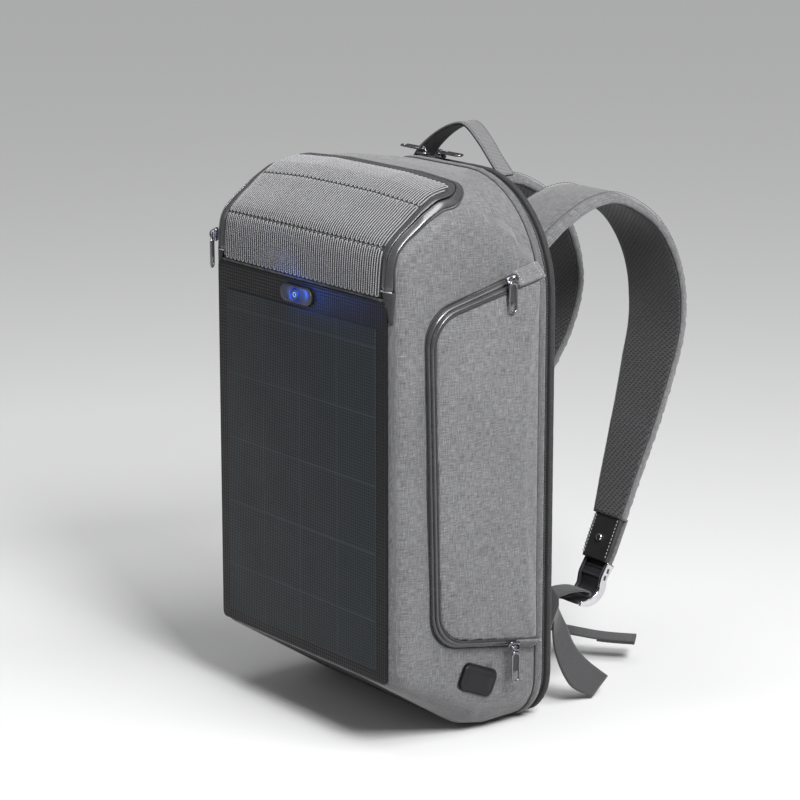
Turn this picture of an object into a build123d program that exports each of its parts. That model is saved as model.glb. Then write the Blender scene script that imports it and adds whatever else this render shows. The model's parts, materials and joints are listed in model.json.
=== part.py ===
"""Backpack with a solar front panel: a stiff padded bag that stands on its own base.

Frame: millimetres, +Z up, +Y towards the wearer's back, +X to the right of a viewer who faces the
solar panel. The origin is on the standing plane, on the bag's centre line.
"""

import os
from math import atan2, cos, hypot, radians, sin

from build123d import *

os.makedirs("parts", exist_ok=True)

# Driving dimensions, in mm.
HALF_WIDTH = 132.0
HEIGHT = 472.0
FRONT_Y = -130.0
RIM_Y = 20.0
WALL = 3.0
GAP = 0.3

# The front face starts this high, and the underside slopes down from it to the flat base.
FRONT_FOOT_Z = 62.0
SLOPE_BACK_Y = -30.0
BASE_HALF = 86.0
BASE_BACK_Y = 14.0

# The lid's profile, from the front face over the brow to the level top.
BROW_FOOT = (FRONT_Y, 388.0)
BROW_TOP = (-127.0, 424.0)
BROW_MIDDLE = (-99.0, 457.0)
TOP_FRONT = (-58.0, 477.0)
CORNER_PLAN = 14.0
RIM_TOP_RADIUS = 95.0
RIM_FOOT_RADIUS = 45.0

# The rim, from the front welt to the back panel.
FRONT_WELT_BACK = 27.5
FRONT_TAPE_BACK = 30.0
REAR_TAPE_FRONT = FRONT_TAPE_BACK + GAP
REAR_WELT_FRONT = 32.8
REAR_WELT_BACK = 38.0
WELT_WIDTH = 6.0
BACK_PANEL_BACK = 41.0
PAD_BACK = 54.0

# The solar laminate and its power button.
PANEL_HALF = 122.0
PANEL_LOW = 63.5
PANEL_HIGH = 387.0
PANEL_THICK = 2.0
PANEL_RECESS = 0.5
CELL_HALF = 108.0
CELLS_LOW = 74.0
CELLS_HIGH = 364.0
CELL_ROWS = 5
CELL_GAP = 2.0
CELL_THICK = 0.6
BUTTON_X = -2.0
BUTTON_Z = 375.0
POD_LENGTH = 45.0
POD_HEIGHT = 15.0
POD_THICK = 2.5
BUTTON_RADIUS = 5.0
LIGHT_RADIUS = 6.6

# The lid over the front compartment.
FLAP_FOOT_Z = 390.0
FLAP_HALF = 113.5
FLAP_BACK_Y = -54.0
FLAP_TAPE_WIDTH = 6.0

# The side pockets.
POCKET_FACE = 143.0
POCKET_SPLIT = 138.0
POCKET_REAR_Y = 16.0
LINER_DEPTH = 40.0
LINER_MARGIN = 10.0
TRACK_TOP_SLIDER_Y = -18.0
TRACK_FOOT_SLIDER_Y = -12.0

# The zip sliders.
SLIDER_LENGTH = 12.0
SLIDER_WIDTH = 8.0
SLIDER_HEIGHT = 3.0
SEAT_GAP = 0.4
EAR_OFFSET = 3.2
EAR_THICK = 1.2
EAR_HEIGHT = 3.4
PIVOT_HEIGHT = 5.4
PIVOT_RADIUS = 1.4
PULL_LENGTH = 28.0
PULL_WIDTH = 7.0
PULL_THICK = 1.6

# The shoulder straps.
STRAP_THICK = 12.0
LINING_THICK = 3.0
WEB_THICK = 2.0


def finish(part, name):
    """Names a finished piece and writes it."""
    part.label = name
    export_step(part, f"parts/{name}.step")


def section(y, half, foot, top):
    """Rounded outline of the bag at one depth; foot and top are each a height and a corner radius."""
    low, foot_radius = foot
    high, top_radius = top
    with BuildSketch(Plane.XZ.offset(-y)) as outline:
        with BuildLine():
            Polyline((half, low), (half, high), (-half, high), (-half, low), close=True)
        make_face()
        fillet(outline.vertices().group_by(Axis.Y)[-1], top_radius)
        fillet(outline.vertices().group_by(Axis.Y)[0], foot_radius)
    return outline.sketch


def rim_section(y, grow):
    """Outline of the rim, standing on the base plane however far it is grown."""
    foot = (max(0.0, -grow), RIM_FOOT_RADIUS + grow)
    top = (HEIGHT + grow, RIM_TOP_RADIUS + grow)
    return section(y, HALF_WIDTH + grow, foot, top)


def rim_ring(front, back, outer, inner):
    """Closed ring of the rim between two depths."""
    with BuildPart() as ring:
        extrude(rim_section(front, outer), amount=-(back - front))
        extrude(rim_section(front, inner), amount=-(back - front), mode=Mode.SUBTRACT)
    return ring.part


def bag_form(inset):
    """Solid of the bag's outside, drawn in by an inset, as far back as the rim."""
    half = HALF_WIDTH - inset
    slope = FRONT_FOOT_Z / (SLOPE_BACK_Y - FRONT_Y)
    # Each row: depth, height of the underside and its corner radius, height above the trimmed top
    # and the shoulder's corner radius.
    stations = [
        (FRONT_Y - 5, FRONT_FOOT_Z + 5 * slope, 16, 480, 36),
        (-50, slope * (SLOPE_BACK_Y + 50), 36, 480, 36),
        (SLOPE_BACK_Y, 0, 40, 479, 50),
        (RIM_Y, 0, RIM_FOOT_RADIUS, HEIGHT, RIM_TOP_RADIUS),
    ]
    with BuildPart() as form:
        section_list = []
        for y, low, foot_radius, high, top_radius in stations:
            foot = (low + inset, foot_radius - inset)
            top = (high - inset, top_radius - inset)
            section_list.append(section(y, half, foot, top))
        loft(section_list, ruled=True)
        with BuildSketch(Plane.YZ):
            with BuildLine():
                Polyline((40, TOP_FRONT[1]), (40, -60), (FRONT_Y, -60), BROW_FOOT, BROW_TOP)
                ThreePointArc(BROW_TOP, BROW_MIDDLE, TOP_FRONT)
                Line(TOP_FRONT, (40, TOP_FRONT[1]))
            make_face()
            offset(amount=-inset)
        extrude(amount=HALF_WIDTH + 5, both=True, mode=Mode.INTERSECT)
        with BuildSketch(Plane.XY):
            with BuildLine():
                front = FRONT_Y + inset
                Polyline((half, 60), (half, front), (-half, front), (-half, 60), close=True)
            plan = make_face()
            fillet(plan.vertices().group_by(Axis.Y)[0], CORNER_PLAN - inset)
        extrude(amount=500, mode=Mode.INTERSECT)
    return form.part


def lid_prism(half, back_y, foot_z):
    """Upright prism over the lid's place, with rounded rear corners."""
    with BuildPart() as prism:
        with BuildSketch(Plane.XY.offset(foot_z)):
            with BuildLine():
                Polyline((half, back_y), (half, -150), (-half, -150), (-half, back_y), close=True)
            plan = make_face()
            fillet(plan.vertices().group_by(Axis.Y)[-1], 16)
        extrude(amount=120)
    return prism.part


def pocket_face(x, grow):
    """Outline of a side pocket on a plane across X: front corners rounded, rear edge upright."""
    with BuildSketch(Plane.YZ.offset(x)) as face:
        with BuildLine():
            Polyline((-99, 373), (-92, 97), (POCKET_REAR_Y, 79), (POCKET_REAR_Y, 404), close=True)
        make_face()
        fillet(face.vertices().sort_by(Axis.X)[:2], 30)
        if grow:
            offset(amount=grow)
    return face.sketch


def shifted(line, distance):
    """The points of a line, moved to their right."""
    moved = []
    for i, (u, v) in enumerate(line):
        before = line[max(i - 1, 0)]
        after = line[min(i + 1, len(line) - 1)]
        du, dv = after[0] - before[0], after[1] - before[1]
        length = hypot(du, dv)
        moved.append((u + distance * dv / length, v - distance * du / length))
    return moved


def ribbon(plane, line, thickness, depth=0.0):
    """Closed outline of a band that follows a line of points, from a depth on their right."""
    outer = shifted(line, depth)
    inner = shifted(line, depth + thickness)
    with BuildSketch(plane) as band:
        with BuildLine():
            Spline(*outer)
            Line(outer[-1], inner[-1])
            Spline(*reversed(inner))
            Line(inner[0], outer[0])
        make_face()
    return band.sketch


outside = bag_form(0)
inside = bag_form(WALL)

# The shell: the sewn walls of the bag, open at the back for the main zip and at the top front
# for the lid, with a window in each side for the pocket and one for the charging port.
LID_HALF = FLAP_HALF + 2 * FLAP_TAPE_WIDTH + GAP
LID_BACK = FLAP_BACK_Y + 2 * FLAP_TAPE_WIDTH + GAP
PORT_Y = -43.0
PORT_Z = 54.0
PORT_LENGTH = 31.0
PORT_HEIGHT = 9.0
lid_hole = lid_prism(LID_HALF, LID_BACK, FLAP_FOOT_Z - 1)

with BuildPart() as base_slab:
    with BuildSketch(Plane.XY.offset(-1)):
        with Locations((0, (FRONT_Y + 6 + BASE_BACK_Y) / 2)):
            Rectangle(2 * BASE_HALF, BASE_BACK_Y - FRONT_Y - 6)
    extrude(amount=80)

with BuildPart() as main_shell:
    add(outside)
    add(inside, mode=Mode.SUBTRACT)
    add(lid_hole, mode=Mode.SUBTRACT)
    add(base_slab.part, mode=Mode.SUBTRACT)
    with BuildSketch(Plane.XZ.offset(-FRONT_Y + 1)):
        with Locations((0, (PANEL_LOW + PANEL_HIGH) / 2)):
            RectangleRounded(2 * PANEL_HALF + 1, PANEL_HIGH - PANEL_LOW + 1, 6)
    extrude(amount=-1 - PANEL_RECESS, mode=Mode.SUBTRACT)
    for side in (-1, 1):
        extrude(pocket_face(side * 120, -LINER_MARGIN), amount=side * 20, mode=Mode.SUBTRACT)
    with Locations((HALF_WIDTH, PORT_Y, PORT_Z)):
        Box(20, PORT_LENGTH + 1, PORT_HEIGHT + 1, mode=Mode.SUBTRACT)
finish(main_shell.part, "main_shell")

# The base: the wear-resistant underside, flat at the back and sloping up to the front.
with BuildPart() as base_panel:
    add(outside)
    add(inside, mode=Mode.SUBTRACT)
    add(base_slab.part, mode=Mode.INTERSECT)
    split(bisect_by=Plane.XZ.offset(-SLOPE_BACK_Y), keep=Keep.TOP)
    with Locations((0, (SLOPE_BACK_Y + BASE_BACK_Y) / 2, WALL / 2)):
        Box(2 * BASE_HALF, BASE_BACK_Y - SLOPE_BACK_Y, WALL)
finish(base_panel.part, "base_panel")

# The divider between the front compartment and the main one.
with BuildPart() as front_divider:
    with BuildSketch(Plane.YZ):
        with BuildLine():
            Polyline((-88, 42), (-40, 468), (-37.5, 468), (-85.5, 42), close=True)
        make_face()
    extrude(amount=90, both=True)
finish(front_divider.part, "front_divider")

# The solar laminate in its recess, with ten flat cells in two columns.
panel_front = FRONT_Y + PANEL_RECESS - PANEL_THICK
with BuildPart() as solar_panel:
    with BuildSketch(Plane.XZ.offset(-FRONT_Y - PANEL_RECESS)):
        with Locations((0, (PANEL_LOW + PANEL_HIGH) / 2)):
            RectangleRounded(2 * PANEL_HALF, PANEL_HIGH - PANEL_LOW, 5)
    extrude(amount=PANEL_THICK)
finish(solar_panel.part, "solar_panel")

cell_height = (CELLS_HIGH - CELLS_LOW) / CELL_ROWS
with BuildPart() as solar_cells:
    with BuildSketch(Plane.XZ.offset(-panel_front)):
        with Locations((0, (CELLS_LOW + CELLS_HIGH) / 2)):
            with GridLocations(CELL_HALF, cell_height, 2, CELL_ROWS):
                Rectangle(CELL_HALF - CELL_GAP, cell_height - CELL_GAP)
    extrude(amount=CELL_THICK)
finish(solar_cells.part, "solar_cells")

# The button pod: a flat lozenge with a round button in a ring of light.
with BuildPart() as button_pod:
    with BuildSketch(Plane.XZ.offset(-panel_front)):
        with Locations((BUTTON_X, BUTTON_Z)):
            RectangleRounded(POD_LENGTH, POD_HEIGHT, POD_HEIGHT / 2 - 0.5)
    extrude(amount=POD_THICK)
    with BuildSketch(Plane.XZ.offset(-panel_front)):
        with Locations((BUTTON_X, BUTTON_Z)):
            Circle(LIGHT_RADIUS)
    extrude(amount=POD_THICK, mode=Mode.SUBTRACT)
finish(button_pod.part, "button_pod")

with BuildPart() as button_light:
    with BuildSketch(Plane.XZ.offset(-panel_front)):
        with Locations((BUTTON_X, BUTTON_Z)):
            Circle(LIGHT_RADIUS)
            Circle(BUTTON_RADIUS + 0.25, mode=Mode.SUBTRACT)
    extrude(amount=POD_THICK - 0.4)
finish(button_light.part, "button_light")

BUTTON_TRAVEL = 1.0
with BuildPart() as power_button:
    with BuildSketch(Plane.XZ.offset(-panel_front + BUTTON_TRAVEL + 0.2)):
        with Locations((BUTTON_X, BUTTON_Z)):
            Circle(BUTTON_RADIUS)
    extrude(amount=POD_THICK - BUTTON_TRAVEL + 0.4)
    fillet(power_button.edges().group_by(Axis.Y)[0], 0.5)
finish(power_button.part, "power_button")

# The charge controller behind the front wall, its lead, and the two-socket port on the right side.
CONTROLLER_Z = 345.0
with BuildPart() as charge_controller:
    with BuildSketch(Plane.XZ.offset(-FRONT_Y - WALL)):
        with Locations((0, CONTROLLER_Z)):
            RectangleRounded(64, 40, 4)
    extrude(amount=-10)
finish(charge_controller.part, "charge_controller")

LEAD_RADIUS = 2.0
lead_y = FRONT_Y + WALL + 5
port_inner_x = 106.0
with BuildPart() as power_lead:
    with BuildLine() as lead_route:
        FilletPolyline(
            (24, lead_y, CONTROLLER_Z - 20),
            (24, lead_y, 88),
            (114, lead_y, 88),
            (114, PORT_Y - PORT_LENGTH / 2, PORT_Z + 1),
            radius=20,
        )
    with BuildSketch(Plane(origin=lead_route.line @ 0, z_dir=lead_route.line % 0)):
        Circle(LEAD_RADIUS)
    sweep()
finish(power_lead.part, "power_lead")

SOCKET_LENGTH = 12.4
SOCKET_HEIGHT = 5.2
with BuildPart() as usb_port:
    with Locations(((port_inner_x + HALF_WIDTH - 0.6) / 2, PORT_Y, PORT_Z)):
        Box(HALF_WIDTH - 0.6 - port_inner_x, PORT_LENGTH, PORT_HEIGHT)
    for offset_y in (-7.4, 7.4):
        with Locations((HALF_WIDTH - 0.6 - 6, PORT_Y + offset_y, PORT_Z)):
            Box(12, SOCKET_LENGTH, SOCKET_HEIGHT, mode=Mode.SUBTRACT)
finish(usb_port.part, "usb_port")

# The rubber cover over the port lies parallel to the sloping edge below it.
COVER_LENGTH = 37.0
COVER_HEIGHT = 21.0
COVER_THICK = 2.6
COVER_TILT = -23.0
with BuildPart() as usb_cover:
    with BuildSketch(Plane.YZ.offset(HALF_WIDTH + GAP)):
        with Locations(Location((PORT_Y, PORT_Z), COVER_TILT)):
            RectangleRounded(COVER_LENGTH, COVER_HEIGHT, 5)
    extrude(amount=COVER_THICK)
    fillet(usb_cover.edges().group_by(Axis.X)[-1], 1)
finish(usb_cover.part, "usb_cover")

# The lid: a curved panel hinged along its foot, its lining, and the two halves of its zip.
lid_outer = bag_form(-1.5)
lid_middle = bag_form(2.4)
lid_inner = bag_form(3.6)
with BuildPart() as flap_panel:
    add(lid_outer)
    add(lid_middle, mode=Mode.SUBTRACT)
    add(lid_prism(FLAP_HALF, FLAP_BACK_Y, FLAP_FOOT_Z), mode=Mode.INTERSECT)
finish(flap_panel.part, "flap_panel")

with BuildPart() as flap_lining:
    add(lid_middle)
    add(lid_inner, mode=Mode.SUBTRACT)
    add(lid_prism(FLAP_HALF - 2, FLAP_BACK_Y - 2, FLAP_FOOT_Z + 2), mode=Mode.INTERSECT)
finish(flap_lining.part, "flap_lining")

tape_outside = bag_form(0.2)
tape_inside = bag_form(2.0)
flap_tape_half = FLAP_HALF + FLAP_TAPE_WIDTH
with BuildPart() as flap_zip_lid_half:
    add(tape_outside)
    add(tape_inside, mode=Mode.SUBTRACT)
    add(
        lid_prism(flap_tape_half, FLAP_BACK_Y + FLAP_TAPE_WIDTH, FLAP_FOOT_Z),
        mode=Mode.INTERSECT,
    )
    add(lid_prism(FLAP_HALF, FLAP_BACK_Y, FLAP_FOOT_Z - 1), mode=Mode.SUBTRACT)
finish(flap_zip_lid_half.part, "flap_zip_lid_half")

with BuildPart() as flap_zip_body_half:
    add(tape_outside)
    add(tape_inside, mode=Mode.SUBTRACT)
    add(lid_prism(LID_HALF, LID_BACK, FLAP_FOOT_Z), mode=Mode.INTERSECT)
    add(
        lid_prism(flap_tape_half + GAP, FLAP_BACK_Y + FLAP_TAPE_WIDTH + GAP, FLAP_FOOT_Z - 1),
        mode=Mode.SUBTRACT,
    )
finish(flap_zip_body_half.part, "flap_zip_body_half")

# The rim: two welts with the two halves of the main zip between them.
rim_pieces = {
    "front_rim_welt": (RIM_Y, FRONT_WELT_BACK, 1.5),
    "main_zip_front_half": (FRONT_WELT_BACK, FRONT_TAPE_BACK, -2.5),
    "main_zip_rear_half": (REAR_TAPE_FRONT, REAR_WELT_FRONT, -2.5),
    "rear_rim_welt": (REAR_WELT_FRONT, REAR_WELT_BACK, 0.5),
}
for name, (front, back, outer) in rim_pieces.items():
    finish(rim_ring(front, back, outer, -WELT_WIDTH), name)

# The back: a foam panel inside the rear welt, two pads on it, and the laptop sleeve in front.
with BuildPart() as back_panel:
    extrude(rim_section(REAR_WELT_FRONT, -WELT_WIDTH), amount=-(BACK_PANEL_BACK - REAR_WELT_FRONT))
    fillet(back_panel.edges().group_by(Axis.Y)[-1], 2.5)
finish(back_panel.part, "back_panel")

with BuildPart() as back_pads:
    for side in (-1, 1):
        with BuildSketch(Plane.XZ.offset(-BACK_PANEL_BACK)):
            with Locations((side * 52, 215)):
                RectangleRounded(76, 340, 22)
        extrude(amount=-(PAD_BACK - BACK_PANEL_BACK))
    fillet(back_pads.edges().group_by(Axis.Y)[-1], 6)
finish(back_pads.part, "back_pads")

SLEEVE_HALF = 112.0
SLEEVE_LOW = 12.0
SLEEVE_HIGH = 330.0
SLEEVE_FRONT = 15.0
with BuildPart() as laptop_sleeve:
    with Locations((0, (SLEEVE_FRONT + REAR_WELT_FRONT) / 2, (SLEEVE_LOW + SLEEVE_HIGH) / 2)):
        Box(2 * SLEEVE_HALF, REAR_WELT_FRONT - SLEEVE_FRONT, SLEEVE_HIGH - SLEEVE_LOW)
    with BuildSketch(Plane.XZ.offset(-SLEEVE_FRONT - 2)):
        with Locations((0, (SLEEVE_LOW + SLEEVE_HIGH) / 2 + 2)):
            Rectangle(2 * SLEEVE_HALF - 4, SLEEVE_HIGH - SLEEVE_LOW)
    extrude(amount=-20, mode=Mode.SUBTRACT)
    for side in (-1, 1):
        with BuildSketch(Plane.XY):
            with Locations((side * SLEEVE_HALF, SLEEVE_FRONT)):
                Rectangle(70, 50)
        extrude(amount=40, mode=Mode.SUBTRACT)
finish(laptop_sleeve.part, "laptop_sleeve")


# The side pockets: a padded panel, the two halves of its zip and a liner behind it.
for side, name in ((1, "right"), (-1, "left")):
    with BuildPart() as pocket_panel:
        extrude(pocket_face(side * POCKET_SPLIT, 0), amount=side * (POCKET_FACE - POCKET_SPLIT))
        face_edges = pocket_panel.faces().sort_by(Axis.X)[-1 if side > 0 else 0].edges()
        chamfer(face_edges, 2)
    finish(pocket_panel.part, f"pocket_panel_{name}")

    with BuildPart() as pocket_zip_outer:
        extrude(pocket_face(side * POCKET_SPLIT, 2), amount=side * 3)
        extrude(pocket_face(side * POCKET_SPLIT, 0), amount=side * 3, mode=Mode.SUBTRACT)
        with Locations((side * POCKET_SPLIT, POCKET_REAR_Y + 6, 240)):
            Box(20, 12, 400, mode=Mode.SUBTRACT)
    finish(pocket_zip_outer.part, f"pocket_zip_outer_{name}")

    with BuildPart() as pocket_zip_inner:
        extrude(pocket_face(side * HALF_WIDTH, 2), amount=side * (POCKET_SPLIT - GAP - HALF_WIDTH))
        extrude(pocket_face(side * HALF_WIDTH, -3), amount=side * 10, mode=Mode.SUBTRACT)
    finish(pocket_zip_inner.part, f"pocket_zip_inner_{name}")

    with BuildPart() as pocket_liner:
        liner_back = side * (HALF_WIDTH - LINER_DEPTH)
        extrude(pocket_face(liner_back, -LINER_MARGIN - 0.2), amount=side * LINER_DEPTH)
        extrude(
            pocket_face(liner_back + side * 2, -LINER_MARGIN - 2),
            amount=side * LINER_DEPTH,
            mode=Mode.SUBTRACT,
        )
    finish(pocket_liner.part, f"pocket_liner_{name}")


# The zip sliders. Each is a flat block on its tape with two ears, and a slotted pull between them.
def slider(plane, keel):
    """Slider on a tape: the plane's x runs along the track and its z points off the tape."""
    with BuildPart(plane) as body:
        with BuildSketch(plane.offset(SEAT_GAP)):
            RectangleRounded(SLIDER_LENGTH, SLIDER_WIDTH, 2)
        extrude(amount=SLIDER_HEIGHT)
        for ear in (-1, 1):
            with Locations((0, ear * EAR_OFFSET, SLIDER_HEIGHT + EAR_HEIGHT / 2 - 0.1)):
                Box(4, EAR_THICK, EAR_HEIGHT)
        if keel:
            with Locations((0, 0, SEAT_GAP - keel / 2)):
                Box(SLIDER_LENGTH - 3, 4.2, keel)
    return body.part


def pull(plane):
    """Slotted pull: the plane's y is its pivot, its x points along the pull from the pivot."""
    with BuildPart(plane) as tab:
        with Locations(Location((0, 0, 0), (90, 0, 0))):
            Cylinder(PIVOT_RADIUS, 4.6)
        with BuildSketch(plane.offset(-PULL_THICK / 2)):
            with Locations((PULL_LENGTH / 2 + 2, 0)):
                RectangleRounded(PULL_LENGTH, PULL_WIDTH, 2.5)
            with Locations((1.5, 0)):
                Rectangle(5, 4.2)
            with Locations((PULL_LENGTH / 2 + 5, 0)):
                SlotOverall(PULL_LENGTH * 0.5, 2.6, mode=Mode.SUBTRACT)
        extrude(amount=PULL_THICK)
    return tab.part


def pocket_track(y, top):
    """Point and upward slope of a pocket's top or foot track at a given depth."""
    front, rear = ((-99, 373), (POCKET_REAR_Y, 404)) if top else ((-92, 97), (POCKET_REAR_Y, 79))
    slope = (rear[1] - front[1]) / (rear[0] - front[0])
    return front[1] + slope * (y - front[0]), atan2(slope, 1)


MAIN_SLIDER_X = {"left": -40.0, "right": -16.0}
WELT_CLEARANCE = 1.7
KEEL = 3.9
for name, x in MAIN_SLIDER_X.items():
    side = 1 if name == "right" else -1
    track_y = (FRONT_WELT_BACK + REAR_WELT_FRONT) / 2
    seat = Plane(origin=(x, track_y, HEIGHT + WELT_CLEARANCE), z_dir=(0, 0, 1))
    finish(slider(seat, KEEL), f"main_slider_{name}")
    pivot = Plane(origin=seat.origin + Vector(0, 0, PIVOT_HEIGHT), x_dir=(side, 0, 0), z_dir=(0, 0, 1))
    finish(pull(pivot), f"main_pull_{name}")

FLAP_SLIDER_Z = 408.0
flap_seat = Plane(
    origin=(-FLAP_HALF - FLAP_TAPE_WIDTH - 7.0, FRONT_Y + 2.0, FLAP_SLIDER_Z),
    x_dir=(0, 0, -1),
    z_dir=(-cos(radians(40)), -sin(radians(40)), 0),
)
finish(slider(flap_seat, 0), "flap_slider")
flap_pivot = Plane(
    origin=flap_seat.origin + flap_seat.z_dir * PIVOT_HEIGHT,
    x_dir=(0, 0, -1),
    z_dir=flap_seat.z_dir,
)
finish(pull(flap_pivot), "flap_pull")

for side, side_name in ((1, "right"), (-1, "left")):
    for top, end_name in ((True, "top"), (False, "foot")):
        y = TRACK_TOP_SLIDER_Y if top else TRACK_FOOT_SLIDER_Y
        z, angle = pocket_track(y, top)
        off = 1 if top else -1
        track = (0, cos(angle), sin(angle))
        normal = (0, -off * sin(angle), off * cos(angle))
        seat = Plane(
            origin=(side * (POCKET_SPLIT + 0.5), y + 2.1 * normal[1], z + 2.1 * normal[2]),
            x_dir=track,
            z_dir=normal,
        )
        with BuildPart() as pocket_slider:
            with BuildSketch(seat.offset(SEAT_GAP)):
                RectangleRounded(SLIDER_LENGTH, SLIDER_WIDTH, 2)
            extrude(amount=SLIDER_HEIGHT)
            for ear in (-1, 1):
                with Locations(seat):
                    with Locations((ear * EAR_OFFSET, -side * off * 6.3, SEAT_GAP + SLIDER_HEIGHT / 2)):
                        Box(EAR_THICK, 5.4, SLIDER_HEIGHT)
        finish(pocket_slider.part, f"pocket_slider_{end_name}_{side_name}")
        hang = Plane(
            origin=seat.origin + seat.z_dir * (SEAT_GAP + SLIDER_HEIGHT / 2) + Vector(side * 7.3, 0, 0),
            x_dir=(0, sin(angle), -cos(angle)),
            z_dir=(side, 0, 0),
        )
        finish(pull(hang), f"pocket_pull_{end_name}_{side_name}")

# The carry handle: a flat webbing arch behind the rim's top.
HANDLE_FRONT = 35.0
HANDLE_BACK = 60.0
handle_line = [(-66, 468), (-52, 480), (-28, 496), (-4, 506), (12, 506), (30, 494), (46, 480), (60, 468)]
with BuildPart() as carry_handle:
    extrude(ribbon(Plane.XZ.offset(-HANDLE_FRONT), handle_line, 3), amount=-(HANDLE_BACK - HANDLE_FRONT))
finish(carry_handle.part, "carry_handle")

# The shoulder straps: each arches from the back panel and comes down to a leather end, which
# carries a hook. The hook holds a webbing loop that is sewn to the bag's lower rear corner.
strap_line = [
    (41.5, 412),
    (70, 433),
    (105, 448),
    (140, 447),
    (184, 420),
    (211, 373),
    (214, 318),
    (188, 248),
    (154, 183),
    (140, 156),
]
end_line = [(140, 156), (132, 138), (124, 120)]
hook_line = [(121, 119.5), (114, 110), (111, 99), (104, 92.5), (86, 91)]
loop_line = [(55, 100), (78, 103.5), (96, 102), (101, 98.5), (98.5, 95.6)]
tail_front = [(56, 90), (56, 54), (76, 19), (104, 2)]
tail_rear = [(122, 18), (93, 41), (76, 62), (68, 86)]
strap_inner_edge = [(32, 520), (32, 300), (58, 230), (76, 150), (84, 112)]
strap_outer_edge = [(116, 112), (106, 300), (104, 520)]
END_X = (80.0, 115.0)
HOOK_X = (82.0, 114.0)
LOOP_X = (88.0, 112.0)
TAIL_X = 113.0
RIVET_RADIUS = 3.5


def strap_cut(side):
    """Outline of a strap as the wearer sees it, wide at the shoulder and narrow at its end."""
    with BuildSketch(Plane.XZ.offset(-300)) as front:
        with BuildLine():
            Polyline(*[(side * x, z) for x, z in strap_inner_edge + strap_outer_edge], close=True)
        make_face()
    return front.sketch


def band_between(side, line, thickness, near, far, depth=0.0):
    """Band along a line in the YZ plane, from one X to another on the given side."""
    low, high = sorted((side * near, side * far))
    return extrude(ribbon(Plane.YZ.offset(low), line, thickness, depth), amount=high - low)


RIVET_X = 97.0
rivet_dir = Vector(0, -cos(radians(24)), sin(radians(24)))
rivet_mid = Vector(0, 132 - 5.5, 138 + 2.2)
for side, name in ((1, "right"), (-1, "left")):
    with BuildPart() as shoulder_strap:
        add(band_between(side, strap_line, STRAP_THICK - LINING_THICK, 20, 120))
        extrude(strap_cut(side), amount=280, mode=Mode.INTERSECT)
    finish(shoulder_strap.part, f"shoulder_strap_{name}")

    with BuildPart() as strap_lining:
        add(band_between(side, strap_line, LINING_THICK, 20, 120, STRAP_THICK - LINING_THICK))
        extrude(strap_cut(side), amount=280, mode=Mode.INTERSECT)
    finish(strap_lining.part, f"strap_lining_{name}")

    with BuildPart() as leather_end:
        add(band_between(side, end_line, STRAP_THICK, *END_X))
        with Locations(Plane(origin=rivet_mid + Vector(side * RIVET_X, 0, 0), z_dir=rivet_dir)):
            Cylinder(RIVET_RADIUS, 40, mode=Mode.SUBTRACT)
    finish(leather_end.part, f"strap_end_{name}")

    with BuildPart() as strap_hook:
        add(band_between(side, hook_line, 2.6, *HOOK_X))
    finish(strap_hook.part, f"strap_hook_{name}")

    with BuildPart() as web_loop:
        add(band_between(side, loop_line, WEB_THICK, *LOOP_X))
    finish(web_loop.part, f"webbing_loop_{name}")

# The rivets through the leather ends, and the tabs that hold the webbing at the rim.
with BuildPart() as strap_rivets:
    for side in (1, -1):
        with Locations(Plane(origin=rivet_mid + Vector(side * RIVET_X, 0, 0), z_dir=rivet_dir)):
            Cylinder(RIVET_RADIUS, STRAP_THICK + 3)
finish(strap_rivets.part, "strap_rivets")

TAB_OUT_X = 124.0
TAB_WIDTH = 28.0
with BuildPart() as anchor_tabs:
    for side in (1, -1):
        with BuildSketch(Plane.YZ.offset(side * TAB_OUT_X)):
            with BuildLine():
                Polyline((BACK_PANEL_BACK, 124), (BACK_PANEL_BACK, 70), (54.5, 98), (54.5, 106), close=True)
            make_face()
        extrude(amount=-side * TAB_WIDTH)
finish(anchor_tabs.part, "anchor_tabs")

with BuildPart() as tail_right:
    with BuildSketch(Plane.YZ.offset(TAIL_X)):
        with BuildLine():
            Spline(*tail_front)
            Line(tail_front[-1], tail_rear[0])
            Spline(*tail_rear)
            Line(tail_rear[-1], tail_front[0])
        make_face()
    extrude(amount=WEB_THICK)
finish(tail_right.part, "webbing_tail_right")

# The left tail swings across behind the bag.
tail_start = Vector(-94, 66, 0)
tail_run = Vector(138, 132, 0)
tail_plane = Plane(origin=tail_start, x_dir=tail_run, z_dir=tail_run.cross(Vector(0, 0, 1)))
with BuildPart() as tail_left:
    extrude(
        ribbon(tail_plane, [(0, 96), (40, 70), (100, 36), (160, 22), (tail_run.length, 17)], WEB_THICK),
        amount=12,
        both=True,
    )
finish(tail_left.part, "webbing_tail_left")
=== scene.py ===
"""The solar backpack's looks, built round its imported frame.

Lengths in this script are millimetres in the frame's own axes, and mesh() turns them into metres.
"""

import json
import math

import bmesh
import bpy
import numpy as np
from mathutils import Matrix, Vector
from mathutils.bvhtree import BVHTree
from mathutils.kdtree import KDTree


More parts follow.
